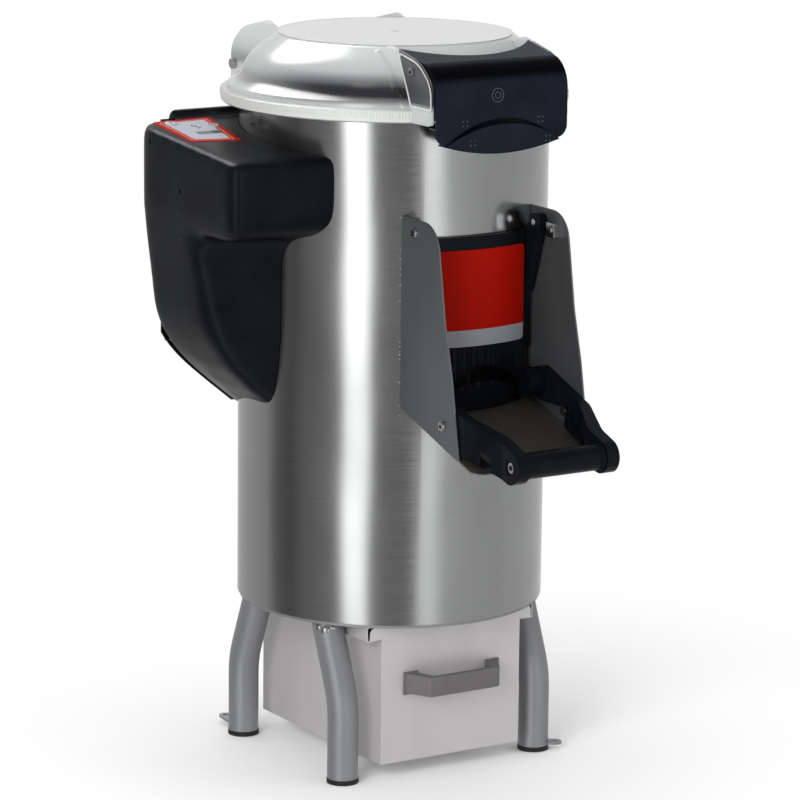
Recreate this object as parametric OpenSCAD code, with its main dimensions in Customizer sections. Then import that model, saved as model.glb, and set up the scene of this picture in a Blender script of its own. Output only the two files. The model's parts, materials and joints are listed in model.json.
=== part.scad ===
// Electric potato peeler, floor-standing, with a hinged clear lid, a discharge
// door and a filter drawer. Millimetres, +Z up, front towards -Y. The origin is
// on the drum's axis at floor level.

/* [Drum] */
// Outer diameter of the stainless drum
drum_d = 400; // [380:1:420]
// Thickness of the drum's sheet
drum_wall = 2; // [1.5:0.1:3]
// Height of the drum's lower edge above the floor
drum_z0 = 211; // [205:1:230]
// Height of the drum's rim above the floor
drum_z1 = 862; // [850:1:880]
// Radius of the bead rolled on the rim
rim_bead_r = 3; // [2:0.1:4]
// Height of the top face of the chamber's floor
tank_z = 472; // [465:1:476]
// Thickness of the chamber's floor
tank_t = 4; // [3:0.5:6]

/* [Discharge] */
// Width of the discharge opening in the drum
mouth_w = 144; // [130:1:148]
// Height of the lower edge of the discharge opening
mouth_z0 = 505; // [503:1:508]
// Height of the upper edge of the discharge opening
mouth_z1 = 698; // [690:1:702]
// Distance between the inner faces of the two cheeks
cheek_gap = 191; // [190:0.5:200]
// Thickness of the cheeks and of the chute's floor
cheek_t = 2; // [1.5:0.1:3]
// Height of the cheeks' top edge
cheek_z1 = 739; // [736:1:750]
// How far the cheeks' toe stands in front of the drum's axis
cheek_toe_y = 312; // [308:1:330]
// Height of the cheeks' toe
cheek_toe_z = 453; // [450:1:458]
// How far the chute's tongue runs on past the cheeks
tongue_len = 35; // [20:1:45]
// Height of the door's hinge axis
door_pivot_z = 722; // [720:1:724]
// How far the door's hinge axis stands in front of the drum's axis
door_pivot_y = 206; // [205:0.5:208]
// Diameter of the pivot screws' shanks
pivot_d = 8; // [6:0.5:8.5]
// Outer radius of the curved door panel
door_r = 207.5; // [206.5:0.1:208]
// Thickness of the door panel
door_t = 4.5; // [3.5:0.1:4.5]
// Width of the door panel above its shoulders
door_w = 182; // [178:1:184]
// Height of the door panel's lower edge
door_z0 = 492; // [491.5:0.5:494]
// Height of the door panel's upper edge
door_z1 = 711; // [708:1:712]
// Height of the door's shoulders, below which it narrows
door_step_z = 558; // [552:1:564]
// Half the width of the grip pocket in the door
scoop_half_w = 62; // [50:1:64]

/* [Bail handle] */
// Height of the bail's pivot axis
bail_pivot_z = 519; // [517:0.5:521]
// How far the bail's pivot axis stands in front of the drum's axis
bail_pivot_y = 222; // [221:0.5:225]
// Height of the grip bar's axis
grip_z = 457; // [455:1:462]
// How far the grip bar's axis stands in front of the drum's axis
grip_y = 390; // [385:1:400]
// Diameter of the grip bar
grip_d = 33; // [28:1:38]
// Distance between the arms' outer faces at the pivots
bail_w = 188; // [186:1:189]
// Width of each arm
arm_t = 13.5; // [11:0.5:13.5]

/* [Lid] */
// Outer diameter of the ring round the lid
ring_d = 446.8; // [440:0.2:452]
// Height of the ring's lower edge
ring_z0 = 858; // [856:1:860]
// Height of the ring
ring_h = 17; // [14:1:20]
// Height of the lid's flat top
lid_z1 = 946; // [940:1:955]
// Wall of the clear lid
lid_t = 3.5; // [3:0.1:5]
// Diameter of the lid's flat top
lid_flat_d = 302; // [290:1:310]
// Distance between the inner faces of the lid's ears
ear_gap = 195.6; // [194:0.2:200]
// Thickness of the lid's ears
ear_t = 3; // [2.5:0.1:4]
// Height of the lid's hinge pin
lid_pin_z = 884; // [882:1:890]
// How far the lid's hinge pin lies behind the drum's axis
lid_pin_y = 236; // [235:0.5:238]
// Diameter of the lid's hinge pin
lid_pin_d = 8; // [6:0.5:9]

/* [Lid latch] */
// Width of the latch flap
flap_w = 194; // [186:0.5:194.6]
// Wall of the latch flap
flap_t = 3; // [2.5:0.1:3.5]
// How far the flap's front face stands in front of the drum's axis
flap_y = 251; // [250:0.5:254]
// Height of the latch flap's lower edge at its corners
flap_z0 = 835; // [830:1:838]
// Height of the flap's pivot screws
flap_pivot_z = 922; // [920:0.5:924]
// How far the flap's pivot screws stand in front of the drum's axis
flap_pivot_y = 200; // [198:0.5:202]
// Diameter of the flap's pivot screws
flap_pin_d = 5; // [4:0.5:6]

/* [Legs and drawer] */
// Diameter of the leg tubes
leg_d = 40; // [36:1:42]
// Wall of the leg tubes
leg_wall = 2; // [1.5:0.5:3]
// Distance of each leg from the middle plane, sideways
leg_x = 147.6; // [146:0.2:152]
// Distance of each leg's foot from the middle plane, front to back
leg_y = 126.8; // [122:0.2:132]
// Lean of the legs' upper part towards the axis, in degrees
leg_lean = 22.5; // [18:0.5:25]
// Height at which the legs' centre lines bend
leg_bend_z = 105; // [95:1:112]
// Height of the rubber feet
foot_h = 6; // [5:1:10]
// Distance of the front bolt-down hole from its leg's centre line
lug_reach = 29; // [28:0.5:36]
// Distance of the rear bolt-down hole from its leg's centre line
rear_lug_reach = 56; // [36:1:60]
// Radius of the bolt-down holes
lug_hole_r = 4.5; // [3:0.25:6]
// Width of the drawer's body
drawer_w = 212; // [206:1:214]
// Height of the drawer's underside
drawer_z0 = 22; // [20:1:40]
// Height of the ledges that the drawer runs on
rail_z = 188.5; // [186:0.5:190]
// How far the drawer's front stands in front of the drum's axis
drawer_y = 152; // [150:1:158]
// Length of the drawer from front to back
drawer_l = 298; // [280:1:300]
// Thickness of the drawer's and rails' sheet
sheet_t = 1.5; // [1:0.1:2]
// Height of the filter plate's underside
filter_z = 60; // [50:1:110]
// Bore of the drawer's drain stub
drain_d = 46; // [40:1:50]

/* [Control housing] */
// How far the housing reaches to the left of the drum's axis
box_x = 306; // [300:1:312]
// How far the housing's front face stands in front of the drum's axis
box_front = 118; // [114:1:122]
// How far the housing's back face lies behind the drum's axis
box_back = 146; // [140:1:150]
// Height of the housing's top at its front edge
box_z1 = 810; // [806:1:816]
// Slope of the housing's top, in degrees
box_tilt = 4.9; // [4:0.1:6]
// Wall of the moulded housing
box_wall = 3; // [2.5:0.1:4]
// Diameter of the push keys
key_d = 16; // [12:0.5:18]
// Travel of the push keys
key_travel = 1.2; // [0.8:0.1:1.5]

/* [Drive] */
// Diameter of the abrasive disc
disc_d = 378; // [360:1:380]
// Height of the abrasive disc's underside
disc_z = 480; // [478:0.5:481]
// Thickness of the abrasive disc
disc_t = 9; // [7:0.5:9]
// Diameter of the disc's shaft
shaft_d = 25; // [20:1:25]
// Diameter of the driven pulley
pulley_d = 150; // [130:1:152]
// Diameter of the motor pulley
motor_pulley_d = 44; // [40:1:60]
// Distance of the motor's axis behind the drum's axis
motor_y = 118; // [115:0.5:119]
// Diameter of the motor
motor_d = 126; // [110:1:128]
// Height of the belt's middle plane
belt_z = 368; // [364:1:372]

/* [Hidden] */
$fn = 96;
eps = 0.01;
// Running clearance between pieces that move past each other
run = 0.3;
// Clearance between pieces that are fastened together
fit = 0.1;
// Radial clearance of a pin in its bore
pin_fit = 0.06;

drum_r = drum_d / 2;
drum_in = drum_r - drum_wall;
mouth_h = mouth_z1 - mouth_z0;
cheek_in = cheek_gap / 2;
cheek_out = cheek_in + cheek_t;
// Where a cheek's inner face meets the drum
cheek_root_y = sqrt(drum_r * drum_r - cheek_in * cheek_in) + fit;
cheek_back_z = 497.5;
chute_slope = (cheek_back_z - cheek_toe_z) / (cheek_toe_y - cheek_root_y);
door_in = door_r - door_t;
ear_in = ear_gap / 2;
ear_out = ear_in + ear_t;
ring_r = ring_d / 2;
ring_in = ring_r - 8.6;
grip_half = 58;
arm_out = bail_w / 2;
arm_in = arm_out - arm_t;
door_low_w = 2 * (arm_in - 1.5);
catch_pin_y = 275;
catch_pin_z = 490;
catch_pin_r = 6;
belt_w = 14;
leg_top_z = drum_z0 - 4;

// ---- Helpers ---------------------------------------------------------------

function unit(v) = v / norm(v);

// Points of the arc that rounds corner b of the path a-b-c with radius r.
function corner_arc(a, b, c, r, n = 7) =
    r <= 0 ? [b] :
    let (u = unit(a - b), v = unit(c - b), half = acos(u * v) / 2,
         centre = b + unit(u + v) * r / sin(half),
         p = b + u * r / tan(half) - centre, q = b + v * r / tan(half) - centre,
         a0 = atan2(p.y, p.x), turn = (atan2(q.y, q.x) - a0 + 540) % 360 - 180)
    [for (i = [0:n]) centre + r * [cos(a0 + turn * i / n), sin(a0 + turn * i / n)]];

// A closed outline from corners [x, y, radius].
function rounded(pts) =
    let (n = len(pts))
    [for (i = [0:n - 1])
        let (a = pts[(i + n - 1) % n], b = pts[i], c = pts[(i + 1) % n])
        each corner_arc([a.x, a.y], [b.x, b.y], [c.x, c.y], b.z)];

// Points of a cubic curve through p0 and p3.
function cubic(p0, p1, p2, p3, n = 14) =
    [for (i = [0:n]) let (t = i / n, s = 1 - t)
        s * s * s * p0 + 3 * s * s * t * p1 + 3 * s * t * t * p2 + t * t * t * p3];

function box_outline(w, h, r) =
    rounded([[-w / 2, -h / 2, r], [w / 2, -h / 2, r], [w / 2, h / 2, r], [-w / 2, h / 2, r]]);

// Extrudes an outline drawn in (y, z) from x0 to x1. Outlines use the distance
// in front of the drum's axis as their first coordinate.
module side_plate(pts, x0, x1) {
    translate([x0, 0, 0]) rotate([90, 0, 90])
        linear_extrude(height = x1 - x0) polygon([for (p = pts) [-p.x, p.y]]);
}

// Extrudes an outline drawn in (x, z) from y0 to y1.
module front_plate(pts, y0, y1) {
    translate([0, y1, 0]) rotate([90, 0, 0]) linear_extrude(height = y1 - y0) polygon(pts);
}

// A cylinder along X from x0 to x1, at distance y in front of the axis.
module bar_x(x0, x1, y, z, r) {
    translate([x0, -y, z]) rotate([0, 90, 0]) cylinder(r = r, h = x1 - x0);
}

module both_sides() {
    children();
    mirror([1, 0, 0]) children();
}

module tube(r_out, r_in, z0, z1) {
    translate([0, 0, z0]) difference() {
        cylinder(r = r_out, h = z1 - z0);
        translate([0, 0, -1]) cylinder(r = r_in, h = z1 - z0 + 2);
    }
}

// ---- Drum ------------------------------------------------------------------

inlet_x = 84;
inlet_z = 790;
inlet_bore_r = 10.5;
// Where the drum's inner wall stands beside the nozzle
inlet_wall_y = sqrt(drum_in * drum_in - pow(inlet_x + inlet_bore_r + 3, 2));

mouth_corner_r = 8;

module mouth_cutter(grow = 0) {
    w = mouth_w + 2 * grow;
    h = mouth_h + 2 * grow;
    translate([0, 0, (mouth_z0 + mouth_z1) / 2]) front_plate(box_outline(w, h, mouth_corner_r + grow), -drum_r - 20, -60);
}

module drum_shell() {
    color("silver") difference() {
        union() {
            cylinder_at(drum_r, drum_z0, drum_z1 - rim_bead_r);
            translate([0, 0, drum_z1 - rim_bead_r])
                rotate_extrude() translate([drum_r, 0]) circle(r = rim_bead_r, $fn = 24);
            cylinder_at(drum_r, drum_z1 - 2 * rim_bead_r, drum_z1 - rim_bead_r);
        }
        cylinder_at(drum_in, drum_z0 - 1, drum_z1 + 1);
        mouth_cutter();
        translate([inlet_x, 0, inlet_z]) rotate([-90, 0, 0]) cylinder(r = inlet_bore_r + fit, h = drum_r + 20);
    }
}

module cylinder_at(r, z0, z1) {
    translate([0, 0, z0]) cylinder(r = r, h = z1 - z0);
}

module base_ring() {
    color("gainsboro") difference() {
        cylinder_at(drum_in - fit, leg_top_z, drum_z0);
        cylinder_at(drum_in - 52, leg_top_z - 1, drum_z0 + 1);
    }
}

drain_x = -95;
drain_y = -75;
duct_r = 28;
duct_wall = 2;

module tank_floor() {
    color("silver") difference() {
        cylinder_at(drum_in - fit, tank_z - tank_t, tank_z);
        cylinder_at(shaft_d / 2 + 8, tank_z - tank_t - 1, tank_z + 1);
        translate([drain_x, drain_y, 0]) cylinder_at(duct_r - duct_wall, tank_z - tank_t - 1, tank_z + 1);
    }
}

liner_t = 4;
liner_z1 = 690;

module abrasive_liner() {
    color("dimgray") difference() {
        tube(drum_in - fit, drum_in - liner_t, tank_z + fit, liner_z1);
        mouth_cutter(6);
    }
}

module bearing_housing() {
    color("darkgray") difference() {
        union() {
            cylinder_at(56, tank_z - tank_t - 8 - fit, tank_z - tank_t - fit);
            cylinder_at(36, 400, tank_z - tank_t - 8);
            for (a = [0:60:300]) rotate([0, 0, a]) translate([33, -3, 415]) cube([20, 6, 45]);
        }
        cylinder_at(23.5, 399, tank_z);
    }
}

module shaft_bearings() {
    color("lightgray") for (z = [404, 440]) difference() {
        tube(23.5 - 0.02, shaft_d / 2 + pin_fit, z, z + 12);
        translate([0, 0, z]) rotate_extrude() translate([(23.5 + shaft_d / 2) / 2, 0]) square([3, 4], center = true);
        translate([0, 0, z + 12]) rotate_extrude() translate([(23.5 + shaft_d / 2) / 2, 0]) square([3, 4], center = true);
    }
}

module shaft_seal() {
    color("black") tube(shaft_d / 2 + 8 - fit, shaft_d / 2 + run, tank_z - tank_t, tank_z + 3);
}

// ---- Drive -----------------------------------------------------------------

module grooved_pulley(r, z0, z1, hub_r, bore_r) {
    n = 5;
    pitch = (z1 - z0 - 4) / n;
    pts = concat([[bore_r, z0], [r, z0]],
        [for (i = [0:n - 1]) each [[r, z0 + 2 + pitch * i], [r - 2.2, z0 + 2 + pitch * (i + 0.5)]]],
        [[r, z1 - 2], [r, z1], [bore_r, z1]]);
    difference() {
        rotate_extrude() polygon(pts);
        if (r > hub_r + 20)
            tube(r - 9, hub_r, z0 + 6, z1 + 1);
    }
}

module driven_pulley() {
    color("dimgray") union() {
        grooved_pulley(pulley_d / 2, belt_z - 11, belt_z + 11, 26, shaft_d / 2 + 0.02);
        tube(26, shaft_d / 2 + 0.02, belt_z - 14, belt_z + 18);
    }
}

module drive_shaft() {
    color("silver") union() {
        cylinder_at(shaft_d / 2, belt_z - 18, disc_z - 3);
        cylinder_at(shaft_d / 2 - 3, disc_z - 3, disc_z + disc_t + 12);
        tube(shaft_d / 2 + 4, shaft_d / 2 - 1, 452 + run, 456);
    }
}

module abrasive_disc() {
    color("darkslategray") difference() {
        union() {
            cylinder_at(disc_d / 2, disc_z, disc_z + disc_t);
            cylinder_at(34, disc_z - 2, disc_z + disc_t + 12);
            intersection() {
                cylinder_at(disc_d / 2 - 4, disc_z, disc_z + disc_t + 12);
                for (a = [0, 120, 240]) rotate([0, 0, a])
                    translate([20, 0, disc_z + disc_t - 36]) rotate([0, 86.5, 0]) cylinder(r = 42, h = disc_d / 2);
            }
        }
        cylinder_at(shaft_d / 2 - 3 + 0.02, disc_z - 4, disc_z + disc_t + 30);
        cylinder_at(disc_d, disc_z - 60, disc_z - 2);
    }
}

module disc_cap() {
    color("silver") translate([0, 0, disc_z + disc_t + 12 + fit]) difference() {
        union() {
            cylinder(r = 22, h = 6);
            translate([0, 0, 6]) cylinder(r1 = 22, r2 = 12, h = 8);
        }
        translate([0, 0, 6]) cylinder(r = 5, h = 9, $fn = 6);
    }
}

module motor_pulley() {
    color("dimgray") translate([0, motor_y, 0]) union() {
        grooved_pulley(motor_pulley_d / 2, belt_z - 11, belt_z + 11, 12, 5);
        cylinder_at(7, 330, belt_z + 13);
    }
}

// Points of the loop that a belt round both pulleys makes.
function belt_loop(r_a, r_b, n = 40) = let (lean = asin((r_a - r_b) / motor_y))
    concat([for (i = [0:n]) let (a = 180 - lean + (180 + 2 * lean) * i / n) r_a * [cos(a), sin(a)]],
        [for (i = [0:n / 2]) let (a = lean + (180 - 2 * lean) * 2 * i / n) [0, motor_y] + r_b * [cos(a), sin(a)]]);

module drive_belt() {
    r_a = pulley_d / 2 + run + fit;
    r_b = motor_pulley_d / 2 + run + fit;
    color("black") translate([0, 0, belt_z - belt_w / 2]) difference() {
        linear_extrude(height = belt_w) polygon(belt_loop(r_a + 4, r_b + 4));
        translate([0, 0, -1]) linear_extrude(height = belt_w + 2) polygon(belt_loop(r_a, r_b));
    }
}

motor_z1 = 344;
motor_len = 118;

module drive_motor() {
    color("slategray") translate([0, motor_y, 0]) difference() {
        union() {
            cylinder_at(motor_d / 2 - 4, motor_z1 - motor_len, motor_z1 - 6);
            for (a = [0:15:345]) rotate([0, 0, a])
                translate([motor_d / 2 - 6, -1.2, motor_z1 - motor_len + 16]) cube([6, 2.4, motor_len - 34]);
            cylinder_at(motor_d / 2, motor_z1 - 14, motor_z1);
            cylinder_at(motor_d / 2, motor_z1 - motor_len, motor_z1 - motor_len + 14);
            translate([-22, -motor_d / 2 - 14 + 10, motor_z1 - 80]) cube([44, 24, 52]);
        }
        cylinder_at(7 + pin_fit, 328, motor_z1 + 1);
    }
}

module motor_mount() {
    color("gray") difference() {
        union() {
            intersection() {
                translate([0, motor_y, 0]) cylinder_at(98, motor_z1 + fit, motor_z1 + 4);
                cylinder_at(drum_in - 3, motor_z1, motor_z1 + 6);
            }
            for (x = [-88, 88]) translate([x, motor_y - 8, 0])
                cylinder_at(7, motor_z1 + 2, tank_z - tank_t - fit);
            translate([0, drum_in - 14, 0]) cylinder_at(7, motor_z1 + 2, tank_z - tank_t - fit);
        }
        translate([0, motor_y, 0]) cylinder_at(20, motor_z1 - 1, motor_z1 + 9);
    }
}

// A straight length of round rod or tube between two points.
module rod(a, b, r) {
    v = b - a;
    translate(a) rotate([0, acos(v.z / norm(v)), atan2(v.y, v.x)]) cylinder(r = r, h = norm(v));
}

module drain_duct() {
    a = [drain_x, drain_y, tank_z - tank_t - fit];
    b = [drain_x, drain_y, 336];
    c = [-52, -48, 262];
    d = [-52, -48, drum_z0 - 6];
    module run_of(r) {
        rod(b, a, r);
        rod(c, b, r);
        rod(d, c, r);
        for (p = [b, c]) translate(p) sphere(r = r, $fn = 48);
    }
    color("whitesmoke") difference() {
        run_of(duct_r);
        run_of(duct_r - duct_wall);
        translate([drain_x, drain_y, 0]) cylinder_at(duct_r - duct_wall, tank_z - tank_t - 1, tank_z);
        translate([c.x, c.y, 0]) cylinder_at(duct_r - duct_wall, d.z - 1, d.z + 2);
    }
}

module inlet_valve() {
    y0 = sqrt(drum_r * drum_r - pow(inlet_x - 17, 2)) + 0.5;
    color("whitesmoke") translate([inlet_x, 0, inlet_z]) difference() {
        union() {
            translate([0, inlet_wall_y - 18, 0]) rotate([-90, 0, 0])
                cylinder(r = inlet_bore_r, h = y0 + 26 - inlet_wall_y);
            translate([0, y0, 0]) rotate([-90, 0, 0]) cylinder(r = 17, h = 6);
            translate([-14, y0 + 5, -14]) cube([28, 28, 28]);
            translate([0, y0 + 19, 13]) cylinder(r = 11, h = 30);
            translate([0, y0 + 32, 0]) rotate([-90, 0, 0]) cylinder(r = 13.2, h = 17);
        }
        translate([0, inlet_wall_y - 19, 0]) rotate([-90, 0, 0]) cylinder(r = 7, h = 110);
    }
}

module spray_nozzle() {
    color("whitesmoke") translate([inlet_x, inlet_wall_y - 20, inlet_z]) difference() {
        union() {
            rotate([-90, 0, 0]) cylinder(r = inlet_bore_r + 3, h = 18);
            translate([-13, -6, -18]) cube([26, 10, 24]);
        }
        translate([0, 1, 0]) rotate([-90, 0, 0]) cylinder(r = inlet_bore_r + fit, h = 20);
        translate([-10, -3, -19]) cube([20, 4, 22]);
    }
}

// ---- Legs ------------------------------------------------------------------

leg_bend_r = 110;
lug_r = 9;
lug_t = 3;
front_lug_angle = 31.5;
rear_lug_angle = 85;

// A leg is a row of straight lengths: upright, four across the bend, leaning.
bend_steps = 4;
bend_z = leg_bend_z - leg_bend_r * tan(leg_lean / 2);
function on_bend(i) = let (a = leg_lean * i / bend_steps)
    [0, leg_bend_r * cos(a) - leg_bend_r, bend_z + leg_bend_r * sin(a)];
function leg_start(k) = k == 0 ? [0, 0, foot_h] : on_bend(k - 1);
function length_lean(k) = k == 0 ? 0 : k > bend_steps ? leg_lean : leg_lean * (k - 0.5) / bend_steps;
function mitre_lean(k) = (length_lean(k - 1) + length_lean(k)) / 2;

// Everything on one side of the mitre at the start of length k.
module mitre_block(k, above) {
    translate(leg_start(k)) rotate([mitre_lean(k), 0, 0]) translate([-60, -60, above ? 0 : -80])
        cube([120, 120, 80]);
}

// One leg at x > 0, y > 0, open at the foot for the rubber plug.
module leg_tube() {
    last = bend_steps + 1;
    translate([leg_x, leg_y, 0]) difference() {
        for (k = [0:last]) difference() {
            translate(leg_start(k)) rotate([length_lean(k), 0, 0]) translate([0, 0, k == 0 ? 0 : -20])
                cylinder(r = leg_d / 2, h = k == last ? 200 : k == 0 ? leg_bend_z : 60);
            if (k > 0) mitre_block(k, false);
            if (k < last) mitre_block(k + 1, true);
        }
        cylinder_at(leg_d / 2 - leg_wall, 0, bend_z - 4);
        translate([0, 0, leg_top_z - fit + 60]) cube([400, 400, 120], center = true);
    }
}

module leg_rear_right() color("silver") leg_tube();
module leg_rear_left() color("silver") mirror([1, 0, 0]) leg_tube();
module leg_front_right() color("silver") mirror([0, 1, 0]) leg_tube();
module leg_front_left() color("silver") rotate([0, 0, 180]) leg_tube();

module rubber_feet() {
    color("black") for (x = [-leg_x, leg_x], y = [-leg_y, leg_y]) translate([x, y, 0]) union() {
        cylinder(r = leg_d / 2 + 0.6, h = foot_h - fit);
        cylinder(r = leg_d / 2 - leg_wall - fit, h = foot_h + 14);
    }
}

// A flat lug that stands out from a leg's foot towards the angle given.
module lug(angle, reach) {
    rotate([0, 0, angle]) translate([0, 0, foot_h + 1]) difference() {
        union() {
            translate([0, -lug_r, 0]) cube([reach, 2 * lug_r, lug_t]);
            translate([reach, 0, 0]) cylinder(r = lug_r, h = lug_t);
        }
        translate([0, 0, -1]) cylinder(r = leg_d / 2 + fit, h = lug_t + 2);
        translate([reach, 0, -1]) cylinder(r = lug_hole_r, h = lug_t + 2);
    }
}

// The front lug is on the right leg and the rear lug on the left leg.
module fixing_lugs() {
    color("silver") union() {
        translate([leg_x, -leg_y, 0]) lug(-front_lug_angle, lug_reach);
        translate([-leg_x, leg_y, 0]) lug(rear_lug_angle, rear_lug_reach);
    }
}

// ---- Drawer ----------------------------------------------------------------

rail_in = drawer_w / 2 + 3;
rail_web = leg_x - leg_d / 2 - sheet_t - 0.4;
drawer_top = leg_top_z - 1;
shoulder_w = 2 * (rail_web - 2.5);

module drawer_rails() {
    y0 = -drawer_y + 2;
    color("silver") both_sides() translate([0, y0 + drawer_l - 4, 0]) rotate([90, 0, 0])
        linear_extrude(height = drawer_l - 4) union() {
            polygon([[rail_in + 1, rail_z - sheet_t], [rail_web + sheet_t, rail_z - sheet_t],
                [rail_web + sheet_t, leg_top_z - fit], [rail_in + 4, leg_top_z - fit],
                [rail_in + 4, leg_top_z - fit - sheet_t], [rail_web, leg_top_z - fit - sheet_t],
                [rail_web, rail_z], [rail_in + 1, rail_z]]);
            translate([rail_in + 1.3, rail_z - sheet_t / 2 - 0.3]) circle(r = sheet_t / 2 + 0.3, $fn = 24);
        }
}

module drawer_box() {
    w = drawer_w / 2;
    y0 = -drawer_y;
    y1 = y0 + drawer_l;
    step_z = rail_z + run;
    front = rounded([[-w, drawer_z0, 3], [w, drawer_z0, 3], [w, step_z, 0], [shoulder_w / 2, step_z, 1],
        [shoulder_w / 2, drawer_top, 9], [-shoulder_w / 2, drawer_top, 9],
        [-shoulder_w / 2, step_z, 1], [-w, step_z, 0]]);
    color("silver") difference() {
        union() {
            front_plate(front, y0, y0 + sheet_t);
            translate([-w, y0, drawer_z0]) cube([2 * w, drawer_l, step_z + sheet_t - drawer_z0]);
            translate([-shoulder_w / 2, y0, step_z]) cube([shoulder_w, drawer_l, sheet_t]);
            translate([drain_out_x, drain_out_y, drawer_z0 - 12]) cylinder(r = drain_d / 2 + 2, h = 14);
        }
        translate([-w + sheet_t, y0 + sheet_t, drawer_z0 + sheet_t])
            cube([2 * w - 2 * sheet_t, drawer_l - 2 * sheet_t, step_z + 40]);
        translate([drain_out_x, drain_out_y, drawer_z0 - 13]) cylinder(r = drain_d / 2, h = 20);
    }
}

drain_out_x = 0;
drain_out_y = 80;

module drawer_filter() {
    w = drawer_w - 2 * sheet_t - 2;
    l = drawer_l - 2 * sheet_t - 2;
    y0 = -drawer_y + sheet_t + 1;
    foot_z = drawer_z0 + sheet_t + fit;
    color("lightgray") difference() {
        union() {
            translate([-w / 2, y0, filter_z]) cube([w, l, sheet_t]);
            for (y = [y0, y0 + l - sheet_t]) translate([-w / 2, y, foot_z])
                cube([w, sheet_t, filter_z + 30 - foot_z]);
        }
        for (x = [-3:3], y = [-4:4]) translate([x * 27, y0 + l / 2 + y * 29, filter_z - 1])
            cylinder(r = 6, h = sheet_t + 2, $fn = 24);
    }
}

handle_z = 113;
handle_h = 26;
handle_reach = 35;
handle_bar_t = 8;
handle_half = 71;

module drawer_handle() {
    y = drawer_y + fit;
    far = y + handle_reach;
    // Plan of the right half, as [x, -distance in front of the axis].
    plan = [[-eps, -far], [handle_half - 21, -far], [handle_half - 16, -far + 4], [handle_half, -y],
        [handle_half - 17, -y], [handle_half - 26, -far + handle_bar_t + 2],
        [handle_half - 30, -far + handle_bar_t], [-eps, -far + handle_bar_t]];
    color("gray") translate([0, 0, handle_z]) union() {
        both_sides() linear_extrude(height = handle_h) polygon(plan);
        both_sides() translate([handle_half - 19, -y - 2.5, -2]) cube([21, 2.5, handle_h + 4]);
    }
}

// ---- Discharge chute and door ----------------------------------------------

chute_angle = atan(chute_slope);
toe_run = (cheek_toe_y - cheek_root_y) / cos(chute_angle);

// The frame of the chute's floor: its upper face is the plane z = 0, and it runs
// down towards -Y from the drum.
module on_chute() {
    translate([0, -cheek_root_y, cheek_back_z]) rotate([chute_angle, 0, 0]) children();
}

module cheek() {
    low = cheek_t + fit;
    difference() {
        side_plate(rounded([[160, cheek_back_z + chute_slope * (cheek_root_y - 160) - low, 0],
            [cheek_toe_y, cheek_toe_z - low, 2], [cheek_toe_y - 19, cheek_toe_z + 101, 80],
            [cheek_toe_y - 36, cheek_toe_z + 166, 80], [cheek_toe_y - 56, cheek_z1, 38],
            [160, cheek_z1, 0]]), cheek_in, cheek_out);
        cylinder_at(drum_r + fit, 400, cheek_z1 + 10);
        bar_x(cheek_in - 1, cheek_out + 1, door_pivot_y, door_pivot_z, pivot_d / 2 + pin_fit);
        bar_x(cheek_in - 1, cheek_out + 1, catch_pin_y, catch_pin_z, pivot_d / 2 + pin_fit);
    }
}

module cheek_right() color("silver") cheek();
module cheek_left() color("silver") mirror([1, 0, 0]) cheek();

module chute_floor() {
    w = cheek_in - fit;
    tongue_w = cheek_in + 1.5;
    end_run = toe_run + tongue_len / cos(chute_angle);
    color("silver") difference() {
        on_chute() translate([0, 0, -cheek_t]) linear_extrude(height = cheek_t)
            polygon(rounded([[-w, 40, 0], [-w, -toe_run - fit, 0], [-tongue_w, -toe_run - 2 * fit, 2],
                [-tongue_w, -end_run, 15], [tongue_w, -end_run, 15], [tongue_w, -toe_run - 2 * fit, 2],
                [w, -toe_run - fit, 0], [w, 40, 0]]));
        cylinder_at(drum_r + fit, 400, 560);
    }
}

module button_head(x, y, z, r, h) {
    bar_x(x, x + h * 0.6, y, z, r);
    bar_x(x + h * 0.6, x + h, y, z, r - 1);
}

module door_pivot_screws() {
    color("silver") both_sides() union() {
        bar_x(ear_x0 - 2, cheek_out, door_pivot_y, door_pivot_z, pivot_d / 2);
        button_head(cheek_out + fit / 2, door_pivot_y, door_pivot_z, pivot_d / 2 + 2.6, 4);
        bar_x(cheek_out - fit, cheek_out + fit, door_pivot_y, door_pivot_z, pivot_d / 2);
    }
}

module bail_rest_screws() {
    color("silver") both_sides() union() {
        bar_x(arm_in + 1.5, cheek_out + fit, catch_pin_y, catch_pin_z, pivot_d / 2);
        bar_x(arm_in + 1.5, cheek_in - fit, catch_pin_y, catch_pin_z, catch_pin_r);
        button_head(cheek_out + fit / 2, catch_pin_y, catch_pin_z, pivot_d / 2 + 2.6, 4);
    }
}

switch_y = 223.5;
switch_z = 706;

module door_switch() {
    color("silver") union() {
        translate([cheek_in - 9, -switch_y - 18, switch_z]) cube([9 - fit, 18, 18]);
        bar_x(cheek_in - 11, cheek_in - 8, switch_y + 9, switch_z + 9, 5);
    }
}

ear_x0 = 81;
ear_x1 = 94;
ear_r = 11.5;
scoop_z = 506;
scoop_top_z = 545;
scoop_lip_z = 528;
scoop_low_z = 489.2;
scoop_r = 16;
door_gap = 1.5;
knuckle_x0 = grip_half;
knuckle_r = 17;

// Radius of the arc that passes through (half_w, z) and has its top or bottom at (0, z + rise).
function arc_radius(half_w, rise) = (half_w * half_w + rise * rise) / (2 * abs(rise));

// The space between two arcs that meet at (+-half_w, z) and reach z + up and z - down.
module lens_prism(half_w, z, up, down, y0, y1) {
    r_up = arc_radius(half_w, up);
    r_down = arc_radius(half_w, down);
    translate([0, y1, z]) rotate([90, 0, 0]) linear_extrude(height = y1 - y0) intersection() {
        translate([0, up - r_up]) circle(r = r_up, $fn = 160);
        translate([0, r_down - down]) circle(r = r_down, $fn = 160);
    }
}

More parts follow.
